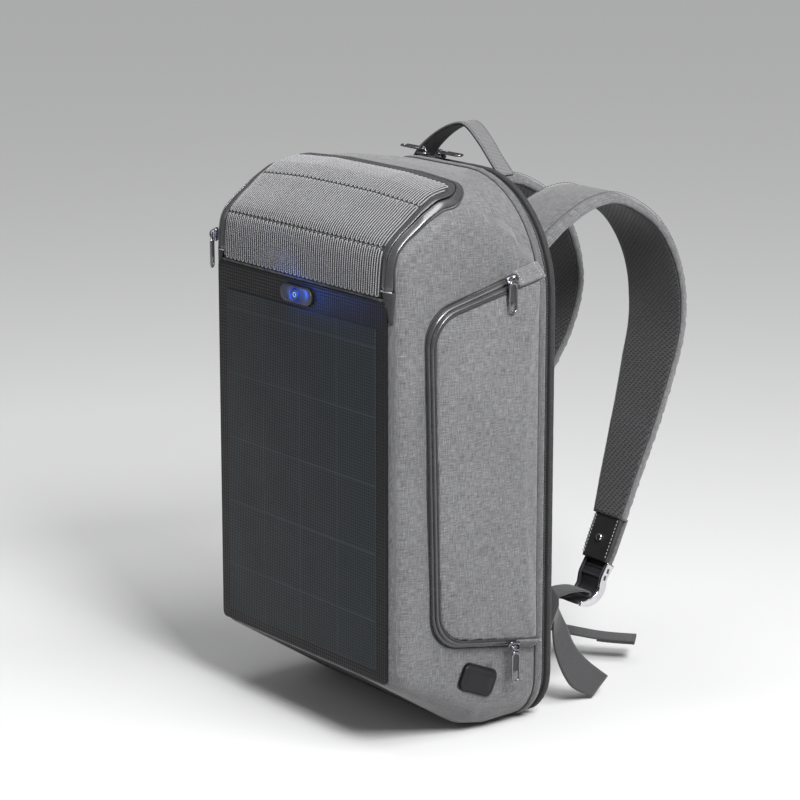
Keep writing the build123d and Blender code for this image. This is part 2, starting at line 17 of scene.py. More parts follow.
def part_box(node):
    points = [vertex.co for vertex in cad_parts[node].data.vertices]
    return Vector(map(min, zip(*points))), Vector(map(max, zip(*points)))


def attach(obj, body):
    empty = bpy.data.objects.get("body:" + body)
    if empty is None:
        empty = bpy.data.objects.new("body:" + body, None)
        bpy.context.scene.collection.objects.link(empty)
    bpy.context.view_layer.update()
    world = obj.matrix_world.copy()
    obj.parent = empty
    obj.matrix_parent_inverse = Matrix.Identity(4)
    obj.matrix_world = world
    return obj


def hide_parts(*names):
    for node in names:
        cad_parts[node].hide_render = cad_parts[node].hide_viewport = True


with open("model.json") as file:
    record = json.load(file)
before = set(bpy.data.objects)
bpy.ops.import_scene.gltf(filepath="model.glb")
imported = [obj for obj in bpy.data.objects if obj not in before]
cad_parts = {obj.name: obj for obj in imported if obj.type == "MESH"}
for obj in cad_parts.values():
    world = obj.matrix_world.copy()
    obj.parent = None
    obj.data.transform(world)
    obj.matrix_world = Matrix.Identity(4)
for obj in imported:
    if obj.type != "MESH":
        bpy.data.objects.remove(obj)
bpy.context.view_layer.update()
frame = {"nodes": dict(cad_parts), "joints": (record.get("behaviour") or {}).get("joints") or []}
MM = 0.001
X_AXIS, Y_AXIS, Z_AXIS = np.eye(3)
SIDES = ((1, "right"), (-1, "left"))


def node_box(name):
    """A CAD node's two corners, in mm."""
    low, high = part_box(name)
    return np.array(low) / MM, np.array(high) / MM


# ---------------------------------------------------------------- driving sizes, from the frame
shell_low, shell_high = node_box("main_shell")
HALF = shell_high[0]
FRONT = shell_low[1]
TOP = shell_high[2]
RIM_FRONT = shell_high[1]
RIM_TOP = node_box("front_rim_welt")[1][2] - 1.5
FOOT = node_box("solar_panel")[0][2] - 1.5
LID_FOOT = node_box("flap_panel")[0][2]
LID_HALF, LID_BACK = node_box("flap_panel")[1][:2]
BASE_HALF = node_box("base_panel")[1][0]
SLOPE_BACK = -30.0
PLAN_RADIUS = 16.0
RIM_RADIUS = 95.0
RIM_FOOT_RADIUS = 45.0
BAND = 6.0


# ---------------------------------------------------------------- mesh tools
def give_cloth(data, places):
    """Stores each point's place on its fabric, in mm, for the weave."""
    flat = np.zeros((len(data.vertices), 3), np.float32)
    flat[:, : np.shape(places)[1]] = places
    data.attributes.new("cloth", "FLOAT_VECTOR", "POINT").data.foreach_set("vector", flat.ravel())


def mesh(name, verts, faces, material, smooth=True, cloth=None):
    """Object from points in mm. cloth is each point's place on its fabric."""
    data = bpy.data.meshes.new(name)
    data.from_pydata((np.asarray(verts, float) * MM).tolist(), [], [list(map(int, f)) for f in faces])
    data.validate()
    if cloth is not None:
        give_cloth(data, cloth)
    if smooth:
        data.shade_smooth()
    obj = bpy.data.objects.new(name, data)
    bpy.context.scene.collection.objects.link(obj)
    data.materials.append(material)
    return obj


def points_of(obj):
    """A mesh's points, in mm."""
    return np.array([v.co for v in obj.data.vertices]) / MM


def face_out(obj):
    """Turns a closed mesh's faces outwards."""
    bm = bmesh.new()
    bm.from_mesh(obj.data)
    bmesh.ops.recalc_face_normals(bm, faces=bm.faces)
    bm.to_mesh(obj.data)
    bm.free()
    return obj


def grid_faces(rows, columns, close_rows=False, close_columns=False, start=0):
    """Quads of a grid of points stored row by row."""
    faces = []
    for i in range(rows if close_rows else rows - 1):
        for j in range(columns if close_columns else columns - 1):
            a, b = i * columns + j, i * columns + (j + 1) % columns
            c, d = ((i + 1) % rows) * columns + (j + 1) % columns, ((i + 1) % rows) * columns + j
            faces.append((start + a, start + b, start + c, start + d))
    return faces


def unit(v):
    """Vectors with their length made 1."""
    v = np.asarray(v, float)
    return v / np.maximum(np.linalg.norm(v, axis=-1, keepdims=True), 1e-12)


def lengths(points):
    """Distance run along a polyline at each of its points."""
    return np.concatenate([[0], np.cumsum(np.linalg.norm(np.diff(points, axis=0), axis=1))])


def read_along(values, run, at):
    """Rows of values known at some distances, read at others."""
    return np.stack([np.interp(at, run, column) for column in np.asarray(values, float).T], 1)


def resample(points, count):
    """Even samples along a polyline."""
    run = lengths(points)
    return read_along(points, run, np.linspace(0, run[-1], count))


def curve(points, count):
    """Even samples along a smooth line through a few points."""
    p = np.asarray(points, float)
    out = []
    for i in range(len(p) - 1):
        q0, q1, q2, q3 = p[max(i - 1, 0)], p[i], p[i + 1], p[min(i + 2, len(p) - 1)]
        for t in np.linspace(0, 1, 24, endpoint=False):
            out.append(0.5 * (2 * q1 + (q2 - q0) * t + (2 * q0 - 5 * q1 + 4 * q2 - q3) * t**2
                              + (3 * q1 - q0 - 3 * q2 + q3) * t**3))
    return resample(np.array(out + [p[-1]]), count)


def tangents(points, closed=False):
    """Direction of a polyline at each of its points."""
    p = np.asarray(points, float)
    if closed:
        return unit(np.roll(p, -1, 0) - np.roll(p, 1, 0))
    return unit(np.gradient(p, axis=0))


def scaled(section, wide, high):
    """A section for each step of a path, scaled in width and height."""
    return section[None] * np.stack(np.broadcast_arrays(wide, high), 1)[:, None]


def sweep(name, path, across, out, section, material, closed=False, flat=None):
    """Tube with a closed section of (across, out) points along a path; flat clamps z from below."""
    path, section = np.asarray(path, float), np.asarray(section, float)
    across, out = (np.broadcast_to(way, path.shape)[:, None] for way in (across, out))
    n, m = len(path), section.shape[-2]
    section = np.broadcast_to(section, (n, m, 2))
    verts = (path[:, None] + section[:, :, :1] * across + section[:, :, 1:] * out).reshape(-1, 3)
    run = np.broadcast_to(lengths(path)[:, None], (n, m))
    girth = np.stack([lengths(s) for s in section])
    if flat is not None:
        verts[:, 2] = np.maximum(verts[:, 2], flat)
    faces = grid_faces(n, m, close_rows=closed, close_columns=True)
    if not closed:
        faces += [list(range(m))[::-1], list(range((n - 1) * m, n * m))]
    return face_out(mesh(name, verts, faces, material, cloth=np.stack([run, girth], -1).reshape(-1, 2)))


def loft(name, loops, material, closed=False):
    """Closed mesh through matching loops of points; closed joins the last loop to the first."""
    loops = np.asarray(loops, float)
    k, n = loops.shape[:2]
    faces = grid_faces(k, n, close_rows=closed, close_columns=True)
    if not closed:
        faces += [tuple(range(n))[::-1], tuple(range((k - 1) * n, k * n))]
    return face_out(mesh(name, loops.reshape(-1, 3), faces, material))


def plate(name, top, bottom, material, cloth=None):
    """Closed sheet between two matching grids of points."""
    rows, columns = top.shape[:2]
    count = rows * columns
    faces = grid_faces(rows, columns)
    faces += [tuple(k + count for k in f[::-1]) for f in faces]
    rim = list(range(columns)) + [i * columns + columns - 1 for i in range(1, rows)]
    rim += [(rows - 1) * columns + j for j in range(columns - 2, -1, -1)]
    rim += [i * columns for i in range(rows - 2, 0, -1)]
    faces += [(b, a, a + count, b + count) for a, b in zip(rim, rim[1:] + rim[:1])]
    verts = np.concatenate([top.reshape(-1, 3), bottom.reshape(-1, 3)])
    if cloth is not None:
        cloth = np.concatenate([cloth.reshape(-1, 2)] * 2)
    return face_out(mesh(name, verts, faces, material, cloth=cloth))


def oval(width, height, count=16, power=2.6, centre=(0, 0)):
    """Closed superellipse section."""
    t = np.linspace(0, 2 * math.pi, count, endpoint=False)
    shape = [np.sign(wave) * np.abs(wave) ** (2 / power) for wave in (np.cos(t), np.sin(t))]
    return np.stack(shape, 1) * [width / 2, height / 2] + centre


def circle(radius, count, centre=(0, 0)):
    """Closed ring of points."""
    return oval(2 * radius, 2 * radius, count, 2, centre)


def boxes(name, places, material, size):
    """One mesh of many small rounded bars: each place is (centre, along, out)."""
    verts, faces = [], []
    length, width, height = np.array(size) / 2
    ring = [(-1, -0.6), (-0.6, -1), (0.6, -1), (1, -0.6), (1, 0.6), (0.6, 1), (-0.6, 1), (-1, 0.6)]
    for centre, along, out in places:
        side = np.cross(along, out)
        start = len(verts)
        for step, grow in ((-1, 0.55), (-0.7, 1), (0.7, 1), (1, 0.55)):
            for a, b in ring:
                around = (side * width * a + out * height * b) * grow
                verts.append(centre + along * length * step + around)
        faces += grid_faces(4, 8, close_columns=True, start=start)
        faces += [[start + k for k in range(8)][::-1], [start + 24 + k for k in range(8)]]
    return mesh(name, verts, faces, material)


def stitches(name, path, out, material, pitch=3.4, length=2.3, width=0.7, lift=0.25):
    """A row of stitches along a path."""
    path = np.asarray(path, float)
    run = lengths(path)
    count = max(2, int(run[-1] / pitch))
    at = (np.arange(count) + 0.5) * run[-1] / count
    spots = read_along(path, run, at)
    outs = unit(read_along(np.broadcast_to(out, path.shape), run, at))
    ways = tangents(spots) if count > 2 else np.broadcast_to(unit(path[-1] - path[0]), spots.shape)
    places = [(spot + o * lift, way, unit(o - way * (o @ way))) for spot, o, way in zip(spots, outs, ways)]
    return boxes(name, places, material, (length, width, width * 0.8))


def join(name, objects):
    """Several objects as one, keeping their materials."""
    bpy.ops.object.select_all(action="DESELECT")
    for obj in objects:
        obj.select_set(True)
    bpy.context.view_layer.objects.active = objects[0]
    bpy.ops.object.join()
    objects[0].name = name
    return objects[0]


def apply_all(obj):
    """Applies every modifier on an object."""
    bpy.context.view_layer.objects.active = obj
    for modifier in list(obj.modifiers):
        bpy.ops.object.modifier_apply(modifier=modifier.name)
    return obj


def cut(obj, cutter):
    """Takes one closed mesh out of another and removes the cutter."""
    step = obj.modifiers.new("cut", "BOOLEAN")
    step.operation, step.object, step.solver = "DIFFERENCE", cutter, "EXACT"
    apply_all(obj)
    bpy.data.objects.remove(cutter)


def put(obj, body, slot_name, *nodes):
    """Rides a piece on its body and stands it in for CAD nodes."""
    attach(obj, body)
    if nodes:
        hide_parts(*nodes)
    return obj


def across_x(loop, x):
    """A (y, z) loop stood on a plane across X."""
    return np.column_stack([np.full(len(loop), x), loop])


def across_y(loop, y):
    """An (x, z) loop stood on a plane across Y."""
    return np.column_stack([loop[:, 0], np.full(len(loop), y), loop[:, 1]])


# ---------------------------------------------------------------- materials
class Field:
    """One value in a material's node tree. Sums, products and the like add nodes to the tree."""

    def __init__(self, tree, socket):
        self.tree, self.socket = tree, socket

    def through(self, kind, **inputs):
        """A new node with this value in its first input."""
        node = self.tree.nodes.new(kind)
        self.tree.links.new(self.socket, node.inputs[0])
        for name, value in inputs.items():
            node.inputs[name].default_value = value
        return node

    def math(self, operation, *others):
        """This value and others, numbers or fields, through one math operation."""
        node = self.through("ShaderNodeMath")
        node.operation = operation
        for place, other in enumerate(others, 1):
            if isinstance(other, Field):
                self.tree.links.new(other.socket, node.inputs[place])
            else:
                node.inputs[place].default_value = other
        return Field(self.tree, node.outputs[0])

    def __add__(self, other):
        """Adds a number or a field."""
        return self.math("ADD", other)

    def __mul__(self, other):
        """Multiplies by a number or a field."""
        return self.math("MULTIPLY", other)

    def noise(self, scale, detail=3.0):
        """Noise read at this place."""
        node = self.through("ShaderNodeTexNoise", Scale=scale, Detail=detail, Roughness=0.6)
        return Field(self.tree, node.outputs[0])

    def split(self):
        """The three parts of a vector."""
        return [Field(self.tree, socket) for socket in self.through("ShaderNodeSeparateXYZ").outputs]

    def ramp(self, *stops):
        """Colour from (value, colour) stops."""
        node = self.through("ShaderNodeValToRGB")
        for end in (0, -1):
            node.color_ramp.elements[end].position = stops[end][0]
            node.color_ramp.elements[end].color = (*stops[end][1], 1)
        for position, colour in stops[1:-1]:
            node.color_ramp.elements.new(position).color = (*colour, 1)
        return Field(self.tree, node.outputs[0])


class Finish:
    """A new material with its fixed shader values."""

    def __init__(self, name, values):
        self.material = bpy.data.materials.new(name)
        self.material.use_nodes = True
        self.tree = self.material.node_tree
        self.shader = self.tree.nodes["Principled BSDF"]
        for each, value in values.items():
            self.shader.inputs[each].default_value = value

    def where(self, source="cloth", scale=(1, 1, 1), turn=0.0):
        """Place on the cloth or in the object, in mm, scaled and turned."""
        if source == "cloth":
            node = self.tree.nodes.new("ShaderNodeAttribute")
            node.attribute_name = "cloth"
            origin = node.outputs["Vector"]
        else:
            origin = self.tree.nodes.new("ShaderNodeTexCoord").outputs["Object"]
            scale = [s / MM for s in scale]
        mapping = Field(self.tree, origin).through("ShaderNodeMapping", Scale=scale, Rotation=(0, 0, turn))
        return Field(self.tree, mapping.outputs[0])

    def link(self, field, name):
        """Drives one of the shader's inputs with a value."""
        self.tree.links.new(field.socket, self.shader.inputs[name])

    def bump(self, height, distance):
        """Relief from a height, as deep as a distance in mm."""
        node = self.tree.nodes.new("ShaderNodeBump")
        node.inputs["Distance"].default_value = distance * MM
        node.inputs["Strength"].default_value = 1.0
        self.tree.links.new(height.socket, node.inputs["Height"])
        self.tree.links.new(node.outputs[0], self.shader.inputs["Normal"])


def fabric(name, dark, light, source="cloth", pitch=1.3, sheen=0.25, depth=0.22):
    """Heathered woven cloth: streaks of lighter yarn, slow shading and a weave in relief."""
    cloth = Finish(name, {"Sheen Weight": sheen, "Sheen Roughness": 0.45, "Specular IOR Level": 0.35})
    across = cloth.where(source, (0.12, 1.25, 0.7)).noise(1.0, 2)
    along = cloth.where(source, (1.25, 0.12, 0.7)).noise(1.0, 2)
    slow = cloth.where(source, (0.012, 0.012, 0.012)).noise(1.0, 2)
    yarn = across * 0.5 + along * 0.5
    between = tuple(d + (l - d) * 0.45 for d, l in zip(dark, light))
    cloth.link((yarn + slow * 0.12).ramp((0.4, dark), (0.56, between), (0.72, light)), "Base Color")
    warp, weft = ((axis * (2 * math.pi / pitch)).math("SINE") for axis in cloth.where(source).split()[:2])
    cloth.bump(warp * weft * 0.35 + yarn * 0.9, depth)
    cloth.link(yarn * -0.18 + 0.81, "Roughness")
    return cloth.material


def webbing(name, dark, light):
    """Ribbed webbing: ribs across and a finer line along."""
    cloth = Finish(name, {"Roughness": 0.68, "Sheen Weight": 0.2, "Specular IOR Level": 0.35})
    where = cloth.where()
    along, across, _ = where.split()
    rib = (along * (2 * math.pi / 1.5)).math("SINE")
    line = (across * (2 * math.pi / 0.9)).math("SINE")
    value = rib * 0.18 + line * 0.1 + where.noise(1.2)
    cloth.link(value.ramp((0.3, dark), (0.75, light)), "Base Color")
    cloth.bump(value, 0.35)
    return cloth.material


def smooth_surface(name, colour, rough, metallic=0.0, grain=1.5, depth=0.05, coat=0.0, specular=0.5):
    """Moulded plastic, rubber, leather or metal: fine grain, small colour and gloss changes."""
    finish = Finish(name, {"Metallic": metallic, "Coat Weight": coat, "Specular IOR Level": specular})
    where = finish.where("object")
    fine, slow = where.noise(grain, 4), where.noise(0.05, 3)
    low = tuple(c * 0.75 for c in colour)
    high = tuple(min(1, c * 1.25 + 0.002) for c in colour)
    finish.link((fine * 0.5 + slow * 0.5).ramp((0.3, low), (0.7, high)), "Base Color")
    finish.link(slow * 0.2 + (rough - 0.1), "Roughness")
    finish.bump(fine, depth)
    return finish.material


def pebbled(name, colour, dot_colour, rough, pitch=2.9, depth=0.35, cells=None):
    """Laminate with rows of small raised pebbles; cells adds the faint lines of a cell grid."""
    finish = Finish(name, {"Specular IOR Level": 0.22})
    where = finish.where()
    u, v, _ = where.split()
    rows = [(axis * (math.pi / pitch)).math("SINE").math("ABSOLUTE") for axis in (u, v)]
    dots = (rows[0] * rows[1]).math("POWER", 0.8)
    base = (dots * 0.65 + where.noise(0.7, 2) * 0.35).ramp((0.25, colour), (0.75, dot_colour))
    if cells:
        lines = [axis.math("PINGPONG", size / 2).math("LESS_THAN", half)
                 for axis, size, half in ((u, cells[0], 0.55), (v, cells[1], 0.8))]
        mix = finish.tree.nodes.new("ShaderNodeMix")
        mix.data_type = "RGBA"
        finish.tree.links.new((lines[0].math("MAXIMUM", lines[1]) * 0.55).socket, mix.inputs["Factor"])
        finish.tree.links.new(base.socket, mix.inputs["A"])
        mix.inputs["B"].default_value = (0.03, 0.042, 0.048, 1)
        base = Field(finish.tree, mix.outputs["Result"])
    finish.link(base, "Base Color")
    finish.bump(dots, depth)
    finish.link(where.noise(0.02, 3) * 0.2 + (rough - 0.1), "Roughness")
    return finish.material


def air_mesh(name, colour, light, pitch):
    """Perforated spacer mesh: rows of dark holes on the slant in a fine knit."""
    cloth = Finish(name, {"Roughness": 0.85, "Sheen Weight": 0.15})
    holes = cloth.where("cloth", (1 / pitch, 1 / (pitch * 1.5), 1), 0.6)
    cells = holes.through("ShaderNodeTexVoronoi", Scale=1.0, Randomness=0.12)
    value = Field(cloth.tree, cells.outputs["Distance"]) + cloth.where().noise(1.6, 2) * 0.25
    cloth.link(value.ramp((0.3, (0.004, 0.004, 0.004)), (0.55, colour), (0.9, light)), "Base Color")
    cloth.bump(value.ramp((0.25, (0, 0, 0)), (0.5, (1, 1, 1))), 0.6)
    return cloth.material


def glow(name, colour, strength):
    """Lit lens: its own light, a little uneven, over a dark base."""
    base = (*(c * 0.08 for c in colour), 1)
    lens = Finish(name, {"Base Color": base, "Emission Strength": strength, "Roughness": 0.3})
    dim = tuple(c * 0.7 for c in colour)
    lens.link(lens.where("object").noise(0.6).ramp((0.2, dim), (0.8, colour)), "Emission Color")
    return lens.material


GREY = fabric("grey_heather", (0.045, 0.045, 0.047), (0.165, 0.165, 0.17))
POCKET_GREY = fabric("grey_heather_pocket", (0.045, 0.045, 0.047), (0.175, 0.175, 0.18), pitch=1.9,
                     depth=0.32)
GREY_WELT = fabric("grey_welt", (0.035, 0.035, 0.037), (0.13, 0.13, 0.134), pitch=1.2)
BLACK_CLOTH = fabric("black_nylon", (0.008, 0.008, 0.009), (0.035, 0.035, 0.037), sheen=0.1, pitch=1.2)
BLACK_WELT = fabric("black_welt", (0.008, 0.008, 0.009), (0.032, 0.032, 0.034), sheen=0.1)
LINING = fabric("lining", (0.02, 0.02, 0.022), (0.07, 0.07, 0.075), source="object", sheen=0.05)
BASE_CLOTH = fabric("base_cloth", (0.007, 0.007, 0.008), (0.025, 0.025, 0.027), sheen=0.05, pitch=2.2,
                    depth=0.4)
LID_CLOTH = fabric("lid_cloth", (0.008, 0.008, 0.009), (0.03, 0.03, 0.032), sheen=0.05)
LID_LINE = webbing("lid_line", (0.10, 0.10, 0.104), (0.33, 0.33, 0.34))
WEBBING = webbing("webbing", (0.012, 0.012, 0.013), (0.05, 0.05, 0.053))
HANDLE_WEB = webbing("handle_webbing", (0.05, 0.05, 0.052), (0.17, 0.17, 0.175))
THREAD = smooth_surface("thread", (0.05, 0.05, 0.052), 0.6)
PALE_THREAD = smooth_surface("pale_thread", (0.33, 0.33, 0.34), 0.6)
ZIP_COAT = smooth_surface("coated_zip", (0.035, 0.035, 0.037), 0.27, grain=1.2, depth=0.04, coat=0.35,
                          specular=0.6)
ZIP_DARK = smooth_surface("zip_dark", (0.012, 0.012, 0.013), 0.5)
ZIP_TEETH = smooth_surface("zip_teeth", (0.03, 0.03, 0.032), 0.35)
RUBBER = smooth_surface("black_rubber", (0.008, 0.008, 0.009), 0.48, grain=2.0, depth=0.04, specular=0.25)
PLASTIC = smooth_surface("black_plastic", (0.018, 0.018, 0.02), 0.4, grain=2.5)
GUNMETAL = smooth_surface("gunmetal", (0.20, 0.20, 0.215), 0.26, metallic=1.0, depth=0.01)
CHROME = smooth_surface("bright_nickel", (0.62, 0.62, 0.64), 0.18, metallic=1.0, depth=0.008)
LEATHER = smooth_surface("leather", (0.016, 0.015, 0.015), 0.42, grain=0.8, depth=0.25)
END_STOP = smooth_surface("end_stop", (0.28, 0.28, 0.29), 0.35)
BORDER = pebbled("solar_border", (0.003, 0.003, 0.0035), (0.013, 0.013, 0.0145), rough=0.45)
FILM = pebbled("solar_film", (0.0045, 0.0065, 0.0075), (0.020, 0.027, 0.030), pitch=2.6, depth=0.28,
               rough=0.46, cells=(54, 58))
STRAP_MESH = air_mesh("strap_mesh", (0.024, 0.024, 0.026), (0.08, 0.08, 0.084), pitch=2.8)
BACK_MESH = air_mesh("back_mesh", (0.02, 0.02, 0.022), (0.07, 0.07, 0.075), pitch=4.0)
BLUE = glow("blue_light", (0.0, 0.07, 0.8), 0.3)
MARK = glow("button_mark", (0.2, 0.45, 1.0), 2.0)


# ---------------------------------------------------------------- the bag's form
def top_height(y):
    """Height of the middle of the top at a depth: the lid's curve, then nearly level."""
    behind_front = [0, 0.6, 1.6, 3.2, 8, 16, 26, 37, 53, 74, 110, RIM_FRONT - FRONT]
    heights = [388, 398, 412, 426, 436, 443.5, 451, 460, 470.5, 476, TOP - 0.5, RIM_TOP]
    return np.interp(y - FRONT, behind_front, heights)


def foot_height(y):
    """Height of the underside at a depth."""
    return np.interp(y, [FRONT, SLOPE_BACK - 12, SLOPE_BACK + 12], [FOOT, 5.5, 0.0])


def outline(y, count_side=26, count_arc=9, count_top=26):
    """Points round the bag at a depth, from the middle of the foot up the right side and back."""
    half = HALF
    if y < FRONT + PLAN_RADIUS:
        half = HALF - PLAN_RADIUS + math.sqrt(max(0.0, PLAN_RADIUS**2 - (FRONT + PLAN_RADIUS - y) ** 2))
    low, high = foot_height(y), top_height(y)
    top_radius = np.interp(y, [FRONT, FRONT + 30, -50, -20, RIM_FRONT], [12, 18, 30, 52, RIM_RADIUS])
    foot_radius = np.interp(y, [FRONT, -50, RIM_FRONT], [14, 38, RIM_FOOT_RADIUS])
    crown = np.interp(y, [FRONT, FRONT + 10, -30, RIM_FRONT], [0, 5, 6, 3])
    points = [(x, low) for x in np.linspace(0, half - foot_radius, count_top)[:-1]]
    for t in np.linspace(-math.pi / 2, 0, count_arc):
        points.append((half - foot_radius + foot_radius * math.cos(t),
                       low + foot_radius + foot_radius * math.sin(t)))
    points += [(half, z) for z in np.linspace(low + foot_radius, high - crown - top_radius, count_side)[1:-1]]
    for t in np.linspace(0, math.pi / 2, count_arc + 4):
        points.append((half - top_radius + top_radius * math.cos(t),
                       high - crown - top_radius + top_radius * math.sin(t)))
    points += [(x, high - crown) for x in np.linspace(half - top_radius, 0, count_top)[1:]]
    points = np.array(points)
    flat = (half - np.abs(points[:, 0])) / half
    lift = np.where(points[:, 1] > (low + high) / 2, crown * np.clip(flat * 1.6, 0, 1) ** 0.8, 0)
    points[:, 1] += lift
    mirrored = points[1:-1][::-1] * [-1, 1]
    return np.concatenate([points, mirrored])


def side_relief(p):
    """Outward relief of the cloth: slow drape, and two short creases low on each front corner."""
    drape = 0.9 * np.sin(p[:, 1] * 0.031 + p[:, 2] * 0.017) * np.sin(p[:, 2] * 0.023 + 1.3)
    drape += 0.5 * np.sin(p[:, 1] * 0.09 + 2 * np.sin(p[:, 2] * 0.03))
    for y0, z0, y1, z1 in ((-128, 96, -112, 112), (-126, 84, -108, 98)):
        a, b = np.array([y0, z0]), np.array([y1, z1])
        t = np.clip(((p[:, 1:] - a) @ (b - a)) / ((b - a) @ (b - a)), 0, 1)
        gap = np.linalg.norm(p[:, 1:] - (a + t[:, None] * (b - a)), axis=1)
        drape += 1.3 * np.exp(-(gap / 2.6) ** 2) * np.sin(np.pi * np.clip(t, 0.05, 0.95))
    sides = np.clip((np.abs(p[:, 0]) - HALF + 14) / 12, 0, 1)
    return drape * sides


depths = np.concatenate([
    FRONT + np.array([0, 0.3, 0.6, 1.0, 1.6, 2.3, 3.2, 4.4, 6, 8, 10.5, 13.5, 17]),
    np.linspace(FRONT + 21, RIM_FRONT, 42),
])
rings = np.array([outline(y) for y in depths])
ring_count = rings.shape[1]
skin = np.zeros((len(depths), ring_count, 3))
skin[:, :, 0], skin[:, :, 1], skin[:, :, 2] = rings[:, :, 0], depths[:, None], rings[:, :, 1]
flat_skin = skin.reshape(-1, 3)
skin_faces = [f[::-1] for f in grid_faces(len(depths), ring_count, close_columns=True)]
front_cap = [tuple(range(ring_count))]
tree_of_skin = BVHTree.FromPolygons([tuple(v) for v in flat_skin], [tuple(f) for f in skin_faces + front_cap])


def skin_hit(origin, way):
    """Where a ray from inside the bag meets its skin, and the outward normal there."""
    hit, normal, _, _ = tree_of_skin.ray_cast(Vector(origin), Vector(way))
    hit, normal = np.array(hit), np.array(normal)
    return hit, normal if normal @ np.array(way) > 0 else -normal


# The lid's surface as a table: x across, and s along the profile from the lid's foot.
LID_EYE = np.array([0.0, -62.0, LID_FOOT])
angles = np.radians(np.linspace(0, 118, 119))
middle = np.array([skin_hit(LID_EYE, (0, -math.cos(a), math.sin(a)))[0] for a in angles])
angle_run = lengths(middle)
S_STEP, X_STEP = 2.0, 2.0
lid_s = np.arange(0, angle_run[-1], S_STEP)
lid_x = np.arange(-128, 128.1, X_STEP)
lid_grid = np.zeros((len(lid_s), len(lid_x), 3))
for i, s in enumerate(lid_s):
    a = np.interp(s, angle_run, angles)
    for j, x in enumerate(lid_x):
        lid_grid[i, j] = skin_hit(LID_EYE + (x, 0, 0), (0, -math.cos(a), math.sin(a)))[0]
for _ in range(2):
    lid_grid[1:-1] = (lid_grid[:-2] + 2 * lid_grid[1:-1] + lid_grid[2:]) / 4
lid_normals = unit(np.cross(np.gradient(lid_grid, axis=1), np.gradient(lid_grid, axis=0)))
LID_LENGTH = float(np.interp(LID_BACK, middle[:, 1], angle_run))


def lid_at(x, s, lift=0.0):
    """Points on the lid's surface, lifted along its normal."""
    x, s, lift = np.broadcast_arrays(np.asarray(x, float), np.asarray(s, float), np.asarray(lift, float))
    u = np.clip((x - lid_x[0]) / X_STEP, 0, len(lid_x) - 1.001)
    v = np.clip(s / S_STEP, 0, len(lid_s) - 1.001)
    i, j = v.astype(int), u.astype(int)
    fu, fv = (u - j)[..., None], (v - i)[..., None]

    def blend(table):
        """A table read between its points."""
        near = table[i, j] * (1 - fu) + table[i, j + 1] * fu
        far = table[i + 1, j] * (1 - fu) + table[i + 1, j + 1] * fu
        return near * (1 - fv) + far * fv

    below = np.minimum(s, 0)[..., None] * Z_AXIS
    return blend(lid_grid) + unit(blend(lid_normals)) * lift[..., None] + below


# ---------------------------------------------------------------- shell
before_rim = flat_skin[:, 1] <= RIM_FRONT - 4
shaped = flat_skin.copy()
shaped[:, 0] += np.sign(flat_skin[:, 0]) * side_relief(flat_skin) * before_rim
shaped[:, 2] = np.maximum(shaped[:, 2], 0)
around = lengths(skin[30])
skin_cloth = np.stack([np.broadcast_to(around, skin.shape[:2]).ravel(), flat_skin[:, 1]], 1)



def under_base(k):
    """Whether a point of the skin belongs to the base panel."""
    x, y, z = flat_skin[k]
    return abs(x) <= BASE_HALF + 1 and z <= foot_height(y) + 0.5


under = [all(under_base(k) for k in face) for face in skin_faces]
shell_faces = [f for f, u in zip(skin_faces, under) if not u] + front_cap
base_faces = [f for f, u in zip(skin_faces, under) if u]


def rounded_rectangle(half_u, half_v, radius, count=8, centre=(0, 0)):
    """Closed loop of (u, v) points, anticlockwise."""
    points = []
    for k, (su, sv) in enumerate(((1, 1), (-1, 1), (-1, -1), (1, -1))):
        for a in np.linspace(0, math.pi / 2, count) + k * math.pi / 2:
            points.append((su * (half_u - radius) + radius * math.cos(a),
                           sv * (half_v - radius) + radius * math.sin(a)))
    return np.array(points) + centre


def prism(name, loop, origin, u_axis, v_axis, way):
    """Closed cutter on a loop of (u, v) points, as deep as way is long."""
    base = np.asarray(origin) + loop[:, :1] * u_axis + loop[:, 1:] * v_axis
    n = len(loop)
    faces = [list(range(n))[::-1], list(range(n, 2 * n))]
    faces += [(i, (i + 1) % n, n + (i + 1) % n, n + i) for i in range(n)]
    return face_out(mesh(name, np.concatenate([base, base + way]), faces, PLASTIC, smooth=False))


def solid_skin(name, faces, material):
    """Part of the bag's skin, thickened inwards."""
    used = sorted({k for f in faces for k in f})
    index = {k: i for i, k in enumerate(used)}
    obj = mesh(name, shaped[used], [[index[k] for k in f] for f in faces], material, cloth=skin_cloth[used])
    thick = obj.modifiers.new("thick", "SOLIDIFY")
    thick.thickness, thick.offset = 2.6 * MM, -1
    return apply_all(obj)


pocket_low, pocket_high = node_box("pocket_panel_right")
POCKET_REAR = pocket_high[1]


def pocket_loop(grow=0.0, lean=0.0):
    """Outline of a side pocket in (y, z), anticlockwise from the top rear corner.

    lean, from 0 at the bag's side to 1 at the pocket's face, draws its top and front in.
    The foot flares towards the bag.
    """
    corners = [(POCKET_REAR, pocket_high[2] - 9 * lean), (pocket_low[1] + 1.5 * lean, 373 - 4 * lean),
               (pocket_low[1] + 7 + 1.5 * lean, 93 + 6 * lean),
               (POCKET_REAR, pocket_low[2] - 5.5 + 7.5 * lean)]
    radii = [1.0, 30.0, 30.0, 1.0]
    return rounded_loop(corners, radii, grow)


